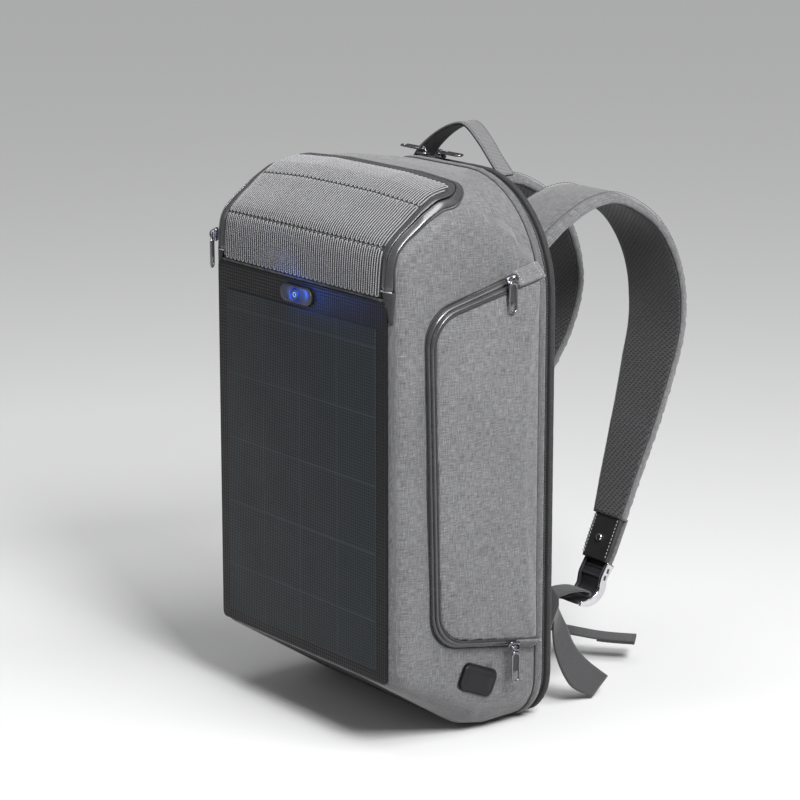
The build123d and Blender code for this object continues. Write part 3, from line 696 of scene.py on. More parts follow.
def rounded_loop(corners, radii, grow=0.0, count=10):
    """Anticlockwise polygon with its edges moved out by grow and its corners rounded."""
    corners = np.array(corners, float)
    n = len(corners)
    ways = unit(np.roll(corners, -1, 0) - corners)
    outs = np.stack([ways[:, 1], -ways[:, 0]], 1)
    moved = [here + (a + b) * grow / (1 + a @ b) for here, a, b in zip(corners, np.roll(outs, 1, 0), outs)]
    loop = []
    for i in range(n):
        before, here, after = moved[i - 1], moved[i], moved[(i + 1) % n]
        a, b = unit(before - here), unit(after - here)
        half_angle = math.acos(np.clip(a @ b, -1, 1)) / 2
        radius = max(radii[i] + grow, 0.4)
        centre = here + unit(a + b) * radius / math.sin(half_angle)
        reach = radius / math.tan(half_angle)
        start, end = here + a * reach - centre, here + b * reach - centre
        t0, t1 = math.atan2(start[1], start[0]), math.atan2(end[1], end[0])
        turn = (t1 - t0 + math.pi) % (2 * math.pi) - math.pi
        for t in t0 + turn * np.linspace(0, 1, count):
            loop.append(centre + radius * np.array([math.cos(t), math.sin(t)]))
    return np.array(loop)


bag_skin = solid_skin("bag_skin", shell_faces, GREY)
window_x, window_back, window_front = LID_HALF + 2 * BAND + 0.4, LID_BACK + 2 * BAND + 0.2, FRONT - 20
window_corners = [(window_x, window_back), (-window_x, window_back), (-window_x, window_front),
                  (window_x, window_front)]
lid_window = rounded_loop(window_corners, [28, 28, 0, 0])
cut(bag_skin, prism("lid_cutter", lid_window, (0, 0, LID_FOOT - 0.8), X_AXIS, Y_AXIS, 120 * Z_AXIS))
for side, _ in SIDES:
    origin = (side * (HALF - 8), 0, 0)
    cut(bag_skin, prism("pocket_cutter", pocket_loop(-9.6), origin, Y_AXIS, Z_AXIS, side * 20 * X_AXIS))
port_low, port_high = node_box("usb_port")
port_half = (port_high - port_low) / 2 + 0.4
port_loop = rounded_rectangle(port_half[1], port_half[2], 1.5, centre=((port_low + port_high) / 2)[1:])
cut(bag_skin, prism("port_cutter", port_loop, (HALF - 9, 0, 0), Y_AXIS, Z_AXIS, 20 * X_AXIS))


def skin_cloth_on(obj):
    """Fabric places of the skin, given again after the cuts."""
    near = KDTree(len(flat_skin))
    for k, point in enumerate(flat_skin):
        near.insert(point, k)
    near.balance()
    obj.data.attributes.remove(obj.data.attributes["cloth"])
    spots = points_of(obj)
    girth = skin_cloth[[near.find(p)[1] for p in spots], 0]
    on_side = np.abs(spots[:, 0]) > HALF - 6
    give_cloth(obj.data, np.stack([np.where(on_side, spots[:, 2], girth), spots[:, 1]], 1))


skin_cloth_on(bag_skin)
put(bag_skin, "bag", "grey_fabric", "main_shell")
put(solid_skin("base_skin", base_faces, BASE_CLOTH), "bag", "base_rubber", "base_panel")

# ---------------------------------------------------------------- solar laminate
PANEL_FRONT = node_box("solar_panel")[0][1]


def slab(name, node, grow, radius, front_y, thick, edge, material):
    """Flat plate over a node's box, facing the front, with a rounded edge and its cloth in the plate."""
    low, high = node_box(node)
    middle = (0, (low[2] + high[2]) / 2)
    loop = rounded_rectangle(high[0] + grow, (high[2] - low[2]) / 2 + grow, radius, centre=middle)
    centre = loop.mean(0)
    reach = np.linalg.norm(loop - centre, axis=1)[:, None]
    verts, n = [], len(loop)
    for inset, rise in ((0, 0), (0, thick - edge), (edge * 0.3, thick - edge * 0.3), (edge, thick)):
        ring = centre + (loop - centre) * (reach - inset * 1.2) / reach
        verts.append(across_y(ring, front_y + thick - rise))
    verts = np.concatenate(verts)
    faces = grid_faces(4, n, close_columns=True)
    faces += [list(range(n))[::-1], list(range(3 * n, 4 * n))]
    return mesh(name, verts, faces, material, cloth=verts[:, [0, 2]])


solar_border = slab("solar_border", "solar_panel", 0, 5, PANEL_FRONT, 2.0, 0.8, BORDER)
put(solar_border, "bag", "solar_film", "solar_panel")
solar_film = slab("solar_film", "solar_cells", 1, 2, PANEL_FRONT - 0.45, 0.5, 0.3, FILM)
put(solar_film, "bag", "solar_cell", "solar_cells")


# ---------------------------------------------------------------- padded and woven pieces
def lay_cloth(obj, first, second):
    """Gives a mesh its places on the fabric from two of its axes."""
    give_cloth(obj.data, points_of(obj)[:, [first, second]])


def inflate(obj, voxel, pressure, most, held):
    """Swells a padded form with cloth under pressure. held says which points stay where they are."""
    remesh = obj.modifiers.new("remesh", "REMESH")
    remesh.mode, remesh.voxel_size = "VOXEL", voxel * MM
    ease = obj.modifiers.new("ease", "SMOOTH")
    ease.factor, ease.iterations = 0.5, 3
    apply_all(obj)
    start = np.array([v.co for v in obj.data.vertices])
    fixed = [int(k) for k in np.nonzero(held(start / MM))[0]]
    obj.vertex_groups.new(name="held").add(fixed, 1.0, "ADD")
    cloth = obj.modifiers.new("cloth", "CLOTH")
    cloth.settings.use_pressure = True
    cloth.settings.uniform_pressure_force = pressure
    cloth.settings.effector_weights.gravity = 0
    cloth.settings.vertex_group_mass = "held"
    for step in range(1, 21):
        bpy.context.scene.frame_set(step)
    seen = obj.evaluated_get(bpy.context.evaluated_depsgraph_get())
    after = np.array([v.co for v in seen.data.vertices])
    obj.modifiers.remove(cloth)
    obj.vertex_groups.clear()
    bpy.context.scene.frame_set(1)
    move = after - start
    size = np.linalg.norm(move, axis=1, keepdims=True)
    start = start + move * np.minimum(1, most * MM / np.maximum(size, 1e-9))
    obj.data.vertices.foreach_set("co", start.ravel())
    finer = obj.modifiers.new("finer", "SUBSURF")
    finer.levels = 1
    apply_all(obj)
    obj.data.shade_smooth()
    return obj


# ---------------------------------------------------------------- power button, light ring and pod
pod_low, pod_high = node_box("button_pod")
pod_mid = ((pod_low + pod_high) / 2)[[0, 2]]
pod_half = (pod_high - pod_low) / 2
pod_front = pod_low[1]
button_low, button_high = node_box("power_button")
BUTTON_RADIUS = (button_high[0] - button_low[0]) / 2


def pod_ring(inset, y):
    """Outline of the pod at a depth."""
    corner = pod_half[2] - 0.5 - inset * 0.9
    loop = rounded_rectangle(pod_half[0] - inset, pod_half[2] - inset, corner, 12, pod_mid)
    return across_y(resample(np.vstack([loop, loop[:1]]), 65)[:64], y)


def pod_disc(radius, count, y):
    """Circle round the middle of the pod at a depth."""
    return across_y(circle(radius, count, pod_mid), y)


def raised_ring(name, radius, count, y, section, material):
    """Ring of a given section round the middle of the pod."""
    line = pod_disc(radius, count, y)
    outwards = unit(line - [pod_mid[0], y, pod_mid[1]])
    return sweep(name, line, outwards, -Y_AXIS, section, material, closed=True)


HOLE_RADIUS = BUTTON_RADIUS + 1.75
pod = loft("button_pod_cover", [
    pod_ring(0, pod_high[1] + 0.3), pod_ring(0, pod_front + 0.9), pod_ring(0.35, pod_front + 0.3),
    pod_ring(1.1, pod_front), pod_disc(HOLE_RADIUS, 64, pod_front - 0.1),
    pod_disc(HOLE_RADIUS, 64, pod_front + 2.45),
], PLASTIC)
put(pod, "bag", "black_plastic", "button_pod")
light_ring = raised_ring("light_ring", BUTTON_RADIUS + 0.95, 56, pod_front + 0.25, oval(1.1, 0.9, 10, 2),
                         BLUE)
put(light_ring, "bag", "button_lens", "button_light")
button_steps = ((BUTTON_RADIUS - 0.1, 1.3), (BUTTON_RADIUS - 0.1, 0.5), (BUTTON_RADIUS - 0.5, 0.12),
                (BUTTON_RADIUS - 1.2, 0.0), (2.6, 0.1), (0.6, 0.25))
button = loft("round_button", [pod_disc(r, 40, button_low[1] + d) for r, d in button_steps], PLASTIC)
button_mark = raised_ring("button_mark", 1.9, 24, button_low[1] + 0.1, oval(0.42, 0.4, 8, 2), MARK)
put(join("round_button", [button, button_mark]), "power_button", "button_plastic", "power_button")

# ---------------------------------------------------------------- lid
LID_RADIUS = 15.0
SEAMS = (40.0, 88.0)


def lid_width(s):
    """Half width of the lid's rounded plan at a distance along its profile."""
    into = np.clip(s - (LID_LENGTH - LID_RADIUS), 0, LID_RADIUS)
    return LID_HALF - LID_RADIUS + np.sqrt(np.maximum(LID_RADIUS**2 - into**2, 0))


def lid_crown(x, s):
    """Height of the padded lid over the bag's skin: full in the middle and pinched at its seam."""
    edge = np.minimum(lid_width(s) - np.abs(x), np.where(s > LID_LENGTH - 30, LID_LENGTH - s, 30))
    rise = 1 - np.exp(-np.clip(edge, 0, None) / 3.0)
    over_back = np.sin(np.pi * np.clip(s / LID_LENGTH, 0, 1)) ** 0.6
    swell = 2.6 * np.clip(1 - (x / LID_HALF) ** 2, 0, 1) * over_back
    seams = sum(np.exp(-((s - at) / 1.3) ** 2) for at in SEAMS)
    return 0.4 + 1.5 * rise + swell - 0.9 * seams * rise


rows = np.unique(np.concatenate([np.linspace(0.4, LID_LENGTH - 8, 58), LID_LENGTH - np.geomspace(8, 0.05, 10),
                                 *[np.array(SEAMS) + d for d in (-1.5, 0, 1.5)]]))
across = np.sin(np.linspace(-math.pi / 2, math.pi / 2, 61)) * 0.25 + np.linspace(-0.75, 0.75, 61)
s_grid = np.broadcast_to(rows[:, None], (len(rows), len(across)))
x_grid = across[None] * lid_width(rows)[:, None]
lid_top = lid_at(x_grid, s_grid, lid_crown(x_grid, s_grid))
lid_panel = plate("lid_panel", lid_top, lid_at(x_grid, s_grid, -2.2), LID_CLOTH,
                  cloth=np.stack([x_grid, s_grid], -1))
put(lid_panel, "flap", "flap_fabric", "flap_panel")
x_in, s_in = x_grid * 0.98, 2 + s_grid * (LID_LENGTH - 4) / LID_LENGTH
lining_inside = lid_at(x_in, s_in, -3.4 + 0.35 * np.sin(x_in * 0.12))
lid_lining = plate("lid_lining", lid_at(x_in, s_in, -2.4), lining_inside, LINING)
put(lid_lining, "flap", "black_fabric", "flap_lining")

LOOP_PITCH = 3.0


def serpentine(start, end, shift):
    """One row of the lid's raised cord: up and down lines joined by hairpins."""
    lines = np.arange(-LID_HALF + 2.6, LID_HALF - 2, LOOP_PITCH)
    xs, ss = [], []
    for k, x in enumerate(lines):
        near_corner = max(abs(x) - (LID_HALF - LID_RADIUS), 0)
        reach = LID_LENGTH - LID_RADIUS + math.sqrt(max(LID_RADIUS**2 - near_corner**2, 0)) - 3
        low, high = start, min(end, reach)
        if high - low < 3:
            continue
        steps = np.linspace(low, high, max(3, int((high - low) / 4)))
        bow = 1 if (k + shift) % 2 == 0 else -1
        steps = steps[::bow]
        xs += [x] * len(steps) + [x + LOOP_PITCH * 0.2, x + LOOP_PITCH / 2, x + LOOP_PITCH * 0.8]
        ss += list(steps) + [steps[-1] + bow * 1.1, steps[-1] + bow * 1.6, steps[-1] + bow * 1.1]
    xs, ss = np.array(xs[:-3]), np.array(ss[:-3])
    lift = lid_crown(xs, ss) + 0.15
    path = lid_at(xs, ss, lift)
    out = unit(lid_at(xs, ss, lift + 1) - path)
    side = unit(np.cross(tangents(path), out))
    return sweep(f"lid_cord_{shift}", path, side, out, oval(1.15, 1.2, 6, 2), LID_LINE)


cords = [serpentine(2.4, SEAMS[0] - 2.4, 0), serpentine(SEAMS[0] + 2.4, SEAMS[1] - 2.4, 1),
         serpentine(SEAMS[1] + 2.4, LID_LENGTH - 2.6, 2)]
put(join("lid_cords", cords), "flap", "flap_fabric")
seam_rows = []
for k, at in enumerate(SEAMS):
    xs = np.linspace(-1, 1, 70) * (lid_width(at) - 4)
    path = lid_at(xs, at, lid_crown(xs, at))
    out = unit(lid_at(xs, at, 5.0) - lid_at(xs, at))
    seam_rows.append(stitches(f"lid_seam_{k}", path, out, PALE_THREAD, 3.6, 2.2, 0.55, 0.1))
put(join("lid_seams", seam_rows), "flap", "flap_fabric")


BAND_START = 7.0
CROWN = 0.24


def lid_border(distance, count=150):
    """Places round the lid's free edge, from the right foot over the back to the left foot."""
    radius, half = LID_RADIUS + distance, LID_HALF + distance
    straight = LID_LENGTH - LID_RADIUS
    turn = np.linspace(0, math.pi / 2, 16)
    xs = np.concatenate([np.full(30, half), half - radius + radius * np.cos(turn)])
    ss = np.concatenate([np.linspace(BAND_START, straight, 31)[:-1], straight + radius * np.sin(turn)])
    line = np.stack([np.concatenate([xs, -xs[::-1]]), np.concatenate([ss, ss[::-1]])], 1)
    return resample(line, count)


def lid_band(name, distance, width, height, material, lift, body, slot_name, *nodes):
    """Band round the lid at a distance from its edge, crowned down towards the zip's slit."""
    path = lid_at(*lid_border(distance).T, lift)
    across = unit(lid_at(*lid_border(distance + 1).T, lift) - path)
    out = unit(np.cross(across, tangents(path)))
    flip = np.sign((out * (path - LID_EYE)).sum(1))[:, None]
    section = oval(width, height, 14, 3)
    section[:, 1] += (1 if body == "flap" else -1) * CROWN * section[:, 0]
    return put(sweep(name, path, across, out * flip, section, material), body, slot_name, *nodes)


lid_band("lid_zip_flap_side", 2.9, 6.2, 2.0, ZIP_COAT, 0.7, "flap", "zip_tape", "flap_zip_lid_half")
lid_band("lid_zip_bag_side", 9.5, 6.8, 2.0, ZIP_COAT, 0.7, "bag", "zip_tape", "flap_zip_body_half")
lid_band("lid_zip_teeth_flap", 5.8, 0.9, 1.0, ZIP_TEETH, -0.2, "flap", "zip_tape")
lid_band("lid_zip_teeth_bag", 6.5, 0.9, 1.0, ZIP_TEETH, -0.4, "bag", "zip_tape")
lid_band("lid_welt", 13.0, 1.4, 1.4, BLACK_CLOTH, 0.35, "bag", "black_fabric")

TAB_FOOT = -20
tab_parts = []
for side, _ in SIDES:
    bar_x = side * (LID_HALF + BAND)
    bar_xs = np.linspace(bar_x - 5.5, bar_x + 5.5, 9)
    bar = lid_at(bar_xs, BAND_START - 1, 1.3)
    bar_out = unit(lid_at(bar_xs, BAND_START - 1, 3.0) - bar)
    tab_parts.append(sweep(f"end_bar_{side}", bar, Z_AXIS, bar_out, oval(1.4, 1.2, 10), END_STOP))
    drop = np.linspace(BAND_START - 1, TAB_FOOT, 14)[:, None]
    half_width = np.interp(drop, [TAB_FOOT, BAND_START], [1.2, 6.4])
    spread = np.linspace(-1, 1, 9)[None] * half_width
    tab_x = bar_x + side * 1.5 + spread + side * np.interp(drop, [TAB_FOOT, BAND_START], [3.5, 0])
    drop = np.broadcast_to(drop, tab_x.shape)
    swell = 1.6 - 0.7 * np.abs(spread / half_width) ** 3
    tab_parts.append(plate(f"zip_tab_{side}", lid_at(tab_x, drop, swell), lid_at(tab_x, drop, -0.4),
                           BLACK_WELT, cloth=np.stack([tab_x, drop], -1)))
put(join("lid_zip_tabs", tab_parts), "bag", "grey_fabric")

# ---------------------------------------------------------------- rim: welts and main zip
rim_ring_points = outline(RIM_FRONT)
RIM_COUNT = 300
rim_flat = resample(np.vstack([rim_ring_points, rim_ring_points[:1]]), RIM_COUNT + 1)[:RIM_COUNT]
rim_along = tangents(rim_flat, closed=True)
rim_normal = np.stack([rim_along[:, 1], -rim_along[:, 0]], 1)
if (rim_normal * (rim_flat - [0, 236])).sum() < 0:
    rim_normal = -rim_normal


def rim_line(out, y):
    """The rim's outline, moved outwards, at a depth."""
    return across_y(rim_flat + rim_normal * out, y)


rim_out = across_y(rim_normal, 0.0)


def rim_sweep(name, low, high, power, material, ripple, body, slot_name, node):
    """Band round the rim between two (depth, outward) corners; ripple puckers it a little."""
    width, height = high[0] - low[0], high[1] - low[1]
    wave = np.arange(RIM_COUNT) * 2 * math.pi / RIM_COUNT
    gather = ripple * (np.sin(wave * 61) + 0.7 * np.sin(wave * 97 + 1) + 0.6 * np.sin(wave * 37 + 2))
    sections = scaled(oval(width, height, 16, power), 1.0, 1 + gather / height)
    path = rim_line((low[1] + high[1]) / 2, (low[0] + high[0]) / 2)
    band = sweep(name, path, Y_AXIS, rim_out, sections, material, closed=True, flat=0.0)
    return put(band, body, slot_name, node)


rim_sweep("front_welt", (19.2, -6), (27.6, 1.7), 2.9, GREY_WELT, 0.16, "bag", "grey_fabric", "front_rim_welt")
# Thin black tube between the skin and the front welt: painted shade standing in for the seam's shadow, not a
# real part.
rim_seam_shadow = sweep("rim_seam_shadow", rim_line(0.5, 19.4), Y_AXIS, rim_out, oval(1.6, 1.4, 8, 2), BLACK_CLOTH,
                 closed=True, flat=0.0)
put(rim_seam_shadow, "bag", "black_fabric")
for low_y, high_y, body, node in ((27.3, 29.8, "bag", "main_zip_front_half"),
                                  (30.5, 32.9, "back_half", "main_zip_rear_half")):
    tape_name = "zip_tape_front" if body == "bag" else "zip_tape_rear"
    rim_sweep(tape_name, (low_y, -6), (high_y, -2.6), 5, ZIP_DARK, 0, body, "zip_tape", node)
rim_sweep("rear_welt", (32.7, -6), (38.2, 0.7), 2.7, BLACK_WELT, 0.12, "back_half", "black_fabric",
          "rear_rim_welt")


def rim_teeth(name, y, shift, body):
    """One side of the main zip's coil."""
    around_rim = np.arange(RIM_COUNT + 1) % RIM_COUNT
    line, outs = rim_line(-2.5, y)[around_rim], rim_out[around_rim]
    run = lengths(line)
    at = np.arange(shift, run[-1] - 1, 2.6)
    spots, facing = read_along(line, run, at), unit(read_along(outs, run, at))
    spots[:, 2] = np.maximum(spots[:, 2], 0.9)
    teeth = boxes(name, [(p, Y_AXIS, n) for p, n in zip(spots, facing)], ZIP_TEETH, (2.0, 1.1, 1.3))
    return put(teeth, body, "zip_tape")


rim_teeth("zip_coil_front", 29.5, 0.0, "bag")
rim_teeth("zip_coil_rear", 30.9, 1.3, "back_half")

# ---------------------------------------------------------------- side pockets
def lean(x):
    """How far a height on the pocket's wall is from the bag's side towards the pocket's face."""
    return (x - HALF) / 10.0


for side, name in SIDES:
    levels = [(0.0, 138.0), (0.2, 139.4), (-0.8, 140.8), (-3.0, 142.0), (-9.0, 142.6), (-18.0, 143.0)]
    loops = [across_x(pocket_loop(grow, lean(x)), side * x) for grow, x in levels]
    panel = loft(f"pocket_face_{name}", loops, POCKET_GREY)
    inflate(panel, 2.6, 5.0, 2.2, lambda p: np.abs(p[:, 0]) < 140.2)
    lay_cloth(panel, 1, 2)
    put(panel, f"pocket_{name}", "grey_fabric", f"pocket_panel_{name}")

    def wall_line(x):
        """The pocket's free edge from the top rear round the front to the foot rear."""
        loop = pocket_loop(0.0, lean(x))
        ends = [[POCKET_REAR, loop[k][1]] for k in (0, -1)]
        return resample(np.vstack([ends[:1], loop[10:30], ends[1:]]), 150)

    def wall(piece, x, out, width, height, material, power=3.0):
        """Band along that edge, out from the pocket's wall."""
        here, beyond = wall_line(x), wall_line(x + 1)
        way = tangents(here)
        outward = np.stack([way[:, 1], -way[:, 0]], 1)
        if (outward * (here - here.mean(0))).sum() < 0:
            outward = -outward
        path = across_x(here + outward * out, side * x)
        aside = unit(across_x(beyond, side * (x + 1)) - across_x(here, side * x))
        facing = across_x(outward, 0.0)
        facing = unit(facing - aside * (facing * aside).sum(1)[:, None])
        return sweep(f"{piece}_{name}", path, aside, facing, oval(width, height, 14, power), material)

    zip_outer = wall("pocket_zip_outer", 139.6, 1.0, 4.0, 2.6, ZIP_COAT)
    put(zip_outer, f"pocket_{name}", "zip_tape", f"pocket_zip_outer_{name}")
    put(wall("pocket_piping", 141.5, 0.2, 2.0, 2.0, BLACK_WELT, 2.0), f"pocket_{name}", "black_fabric")
    zip_inner = wall("pocket_zip_inner", 134.9, 0.2, 5.4, 4.4, ZIP_COAT)
    put(zip_inner, "bag", "zip_tape", f"pocket_zip_inner_{name}")
    put(wall("pocket_zip_slit", 137.55, 0.6, 0.5, 1.4, ZIP_TEETH, 2.0), "bag", "zip_tape")
    # Thin black band where the pocket's zip meets the bag's side: painted shade standing in for the seam's
    # shadow.
    put(wall("pocket_seam_shadow", 132.3, 1.9, 1.5, 1.7, BLACK_CLOTH, 2.0), "bag", "black_fabric")

    liner_levels = [(-10.4, 131.6), (-10.6, 122), (-11.4, 108), (-13, 98), (-18, 94), (-21, 95.5),
                    (-15, 99.5), (-13.2, 109), (-12.4, 122), (-12.0, 131.6)]
    loops = []
    for grow, x in liner_levels:
        loop = across_x(pocket_loop(grow), side * x)
        loop[:, 0] += side * 0.5 * np.sin(loop[:, 2] * 0.11 + loop[:, 1] * 0.07)
        loops.append(loop)
    liner = loft(f"pocket_lining_{name}", loops, LINING, closed=True)
    bottom = loft(f"pocket_lining_back_{name}", [loops[4], loops[5]], LINING)
    put(join(f"pocket_lining_{name}", [liner, bottom]), "bag", "black_fabric", f"pocket_liner_{name}")

    inner_tabs, outer_tabs = [], []
    ys = np.linspace(POCKET_REAR + 2.0, -9.0, 8)
    for end in (1, -1):
        halves = ((131.4, 137.75, inner_tabs, "bag"), (137.95, 142.6, outer_tabs, "pocket"))
        for low_x, high_x, group, body in halves:
            xs = np.linspace(low_x, high_x, 6)
            zs = np.zeros((8, 6))
            for j, x in enumerate(xs):
                line = wall_line(x)
                half = line[:75] if end > 0 else line[75:][::-1]
                zs[:, j] = np.interp(-ys, -half[:, 0], half[:, 1]) + end * 3.3
            top = np.stack([*np.broadcast_arrays(side * xs, ys[:, None], zs)], -1)
            tag = f"{name}_{end}_{body}"
            group.append(plate(f"tab_{tag}", top, top - [0, 0, end * 2.2], GREY, cloth=top[..., :2]))
            for row in (1, 6):
                seam = resample(top[row], 12)
                sewn = stitches(f"tab_seam_{tag}_{row}", seam, Z_AXIS * end, PALE_THREAD, 2.4, 1.6, 0.5, 0.1)
                group.append(sewn)
    put(join(f"pocket_tabs_inner_{name}", inner_tabs), "bag", "grey_fabric")
    put(join(f"pocket_tabs_outer_{name}", outer_tabs), f"pocket_{name}", "grey_fabric")

# ---------------------------------------------------------------- USB cover and port
cover_low, cover_high = node_box("usb_cover")
COVER_TILT = math.radians(-23)
cover_mid = (cover_low + cover_high) / 2
cover_along = np.array([0, math.cos(COVER_TILT), math.sin(COVER_TILT)])
cover_up = np.array([0, -math.sin(COVER_TILT), math.cos(COVER_TILT)])


def cover_loop(half_u, half_v, radius, x):
    """Rounded outline on the cover's slant, at a distance from the bag's middle."""
    loop = rounded_rectangle(half_u, half_v, radius, 10)
    return [x, cover_mid[1], cover_mid[2]] + loop[:, :1] * cover_along + loop[:, 1:] * cover_up


cover_levels = [(18.2, 10.2, 5, 132.4), (18.5, 10.5, 5, 133.0), (18.5, 10.5, 5, 133.9),
                (18.0, 10.0, 4.6, 134.6), (17.0, 9.0, 3.8, 134.9), (16.2, 8.2, 3.2, 134.5),
                (15.4, 7.4, 2.6, 134.5), (14.6, 6.6, 2.2, 134.9), (8, 3, 1, 135.2)]
cover = loft("usb_rubber_cover", [cover_loop(*level) for level in cover_levels], RUBBER)
put(cover, "usb_cover", "rubber_cover", "usb_cover")
frame_levels = [(20.3, 12.3, 6.4, 131.2), (20.3, 12.3, 6.4, 131.9), (19.6, 11.6, 5.8, 132.25),
                (17.4, 9.4, 4.6, 132.2), (17.4, 9.4, 4.6, 131.2)]
surround = loft("usb_surround", [cover_loop(*level) for level in frame_levels], RUBBER, closed=True)
put(surround, "bag", "rubber_cover")

# ---------------------------------------------------------------- zip sliders and pulls
def to_frame(points, origin, x_dir, z_dir):
    """Local points placed on an origin with x and z directions."""
    x_dir = unit(x_dir)
    z_dir = unit(z_dir - x_dir * (np.asarray(z_dir) @ x_dir))
    return np.asarray(origin) + points @ np.stack([x_dir, np.cross(z_dir, x_dir), z_dir])


def slider_mesh(name, origin, x_dir, z_dir):
    """Zip slider: a waisted plate and a bail over it. z leaves the tape and x runs along it."""
    loops = []
    for grow, z in ((-0.7, 0.3), (0, 0.9), (0, 1.9), (-0.5, 2.6), (-1.3, 3.0)):
        t = np.linspace(0, 2 * math.pi, 32, endpoint=False)
        u = (6.0 + grow) * np.sign(np.cos(t)) * np.abs(np.cos(t)) ** 0.6
        v = (3.9 + grow) * np.sign(np.sin(t)) * np.abs(np.sin(t)) ** 0.55
        waist = 1 - 0.16 * np.exp(-(u / 2.6) ** 2) + 0.05 * u / 6
        loops.append(np.stack([u, v * waist, np.full(32, z)], 1))
    body = loft(name, [to_frame(l, origin, x_dir, z_dir) for l in loops], GUNMETAL)
    bail = curve([(-4.4, 0, 2.2), (-4.0, 0, 4.4), (-2.2, 0, 6.6), (0.6, 0, 7.2), (3.2, 0, 5.8),
                  (4.5, 0, 2.2)], 22)
    bail = to_frame(bail, origin, x_dir, z_dir)
    bail_side = to_frame(Y_AXIS, np.zeros(3), x_dir, z_dir)
    bail_out = np.cross(tangents(bail), bail_side)
    rod = sweep(name + "_bail", bail, bail_side, bail_out, oval(2.3, 1.1, 10), GUNMETAL)
    return join(name, [body, rod])


def pull_mesh(name, pivot, x_dir, z_dir, length=30.0):
    """Slotted zip pull: an eye round the pivot and a long ring with an inner bar."""
    def ring(half_u, half_v, mid, radius, z):
        """Rounded outline of the pull at a height."""
        loop = rounded_rectangle(half_u, half_v, radius, 7, (mid, 0))
        return np.column_stack([loop, np.full(len(loop), z)])

    parts = []
    mid = (length + 2.5) / 2
    half = (length - 2.5) / 2
    for tag, outer, inner, centre, thick in (
        ("ring", (half, 4.5, 4.2), (half - 2.6, 2.9, 2.7), mid, 0.9),
        ("eye", (3.4, 2.4, 1.6), (2.3, 1.25, 0.9), 1.6, 0.7),
    ):
        hole_mid = centre + (0.9 if tag == "ring" else 0)
        loops = [
            ring(outer[0] - 0.5, outer[1] - 0.5, centre, outer[2] - 0.4, thick),
            ring(outer[0], outer[1], centre, outer[2], thick * 0.45),
            ring(outer[0], outer[1], centre, outer[2], -thick * 0.45),
            ring(outer[0] - 0.5, outer[1] - 0.5, centre, outer[2] - 0.4, -thick),
            ring(inner[0] + 0.35, inner[1] + 0.35, hole_mid, inner[2] + 0.2, -thick),
            ring(inner[0], inner[1], hole_mid, inner[2], 0),
            ring(inner[0] + 0.35, inner[1] + 0.35, hole_mid, inner[2] + 0.2, thick),
        ]
        loops = [to_frame(l, pivot, x_dir, z_dir) for l in loops]
        parts.append(loft(f"{name}_{tag}", loops, GUNMETAL, closed=True))
    tongue = [ring(length * 0.27 - g, 3.0 - g, length * 0.42, 2.4 - g, z)
              for g, z in ((0.3, -0.5), (0, -0.2), (0, 0.2), (0.3, 0.5))]
    parts.append(loft(f"{name}_tongue", [to_frame(l, pivot, x_dir, z_dir) for l in tongue], PLASTIC))
    return join(name, parts)


hinges = {joint["name"]: joint for joint in frame["joints"]}
TOP_SEAT, FOOT_SEAT, RIM_SEAT = 4.2, 5.1, 5.4


def seat_height(slider_node):
    """How far a slider's seat lies under its pull's pivot."""
    if "pocket_slider_top" in slider_node:
        return TOP_SEAT
    return FOOT_SEAT if "foot" in slider_node else RIM_SEAT


pulls = [("main_slider_left", "main_pull_left", "main_pull_left_lift", -X_AXIS, Z_AXIS, -X_AXIS, Z_AXIS),
         ("main_slider_right", "main_pull_right", "main_pull_right_lift", X_AXIS, Z_AXIS, X_AXIS, Z_AXIS)]
flap_out = np.array([-math.cos(math.radians(40)), -math.sin(math.radians(40)), 0])
pulls.append(("flap_slider", "flap_pull", "flap_pull_lift", -Z_AXIS, flap_out, -Z_AXIS, flap_out))
for side, name in SIDES:
    for end, spot, slope in ((1, "top", (404 - 373) / 115), (-1, "foot", (79 - 97) / 108)):
        way = unit(np.array([0, 1, slope]))
        normal = np.array([0, -way[2], way[1]]) * end
        pull = f"pocket_pull_{spot}_{name}"
        seat_out = 0.8 * side * X_AXIS + 0.6 * normal
        pulls.append((f"pocket_slider_{spot}_{name}", pull, pull + "_lift", way, seat_out, -Z_AXIS,
                      side * X_AXIS))
for slider_node, pull_node, joint, along, seat_out, hang, pull_out in pulls:
    pivot = np.array(hinges[joint]["pos_m"]) / MM
    seat = pivot - seat_height(slider_node) * unit(seat_out)
    body = slider_mesh(slider_node + "_cast", seat, along, seat_out)
    put(body, slider_node, "gunmetal", slider_node)
    put(pull_mesh(pull_node + "_cast", pivot, hang, pull_out), pull_node, "gunmetal", pull_node)

# ---------------------------------------------------------------- carry handle
handle_line = curve([(-64, 467), (-52, 480), (-28, 495.5), (-4, 505), (12, 505), (30, 493), (45, 479.5),
                     (58.5, 467)], 90)
narrow = np.interp(np.linspace(0, 1, 90), [0, 0.15, 0.5, 0.85, 1], [1, 0.94, 0.76, 0.66, 0.7])
handle_path = across_y(handle_line, 0.0)
handle_out = -np.cross(tangents(handle_path), Y_AXIS)
handle_out *= np.sign(handle_out[45][2])
handle_path[:, 1] = node_box("carry_handle")[0][1] + 0.5 + 12.2 * narrow


def handle_layer(name, width, thick, rise, material):
    """One layer of the handle's webbing, narrowed along its length."""
    sections = scaled(oval(width, thick, 18, 6, (0, rise)), narrow, 1.0)
    return sweep(name, handle_path, Y_AXIS, handle_out, sections, material)


web = handle_layer("handle_web", 24.4, 1.9, -0.4, HANDLE_WEB)
inner_web = handle_layer("handle_inner", 23.0, 1.2, -2.0, BLACK_CLOTH)
seams = []
for k, aside in enumerate((-10.2, 10.2)):
    seam = handle_path + handle_out * 0.55 + Y_AXIS * (aside * narrow)[:, None]
    seams.append(stitches(f"handle_seam_{k}", seam, handle_out, THREAD, 3.2, 2.2, 0.6, 0.0))
put(join("handle_web", [web, inner_web] + seams), "back_half", "webbing", "carry_handle")

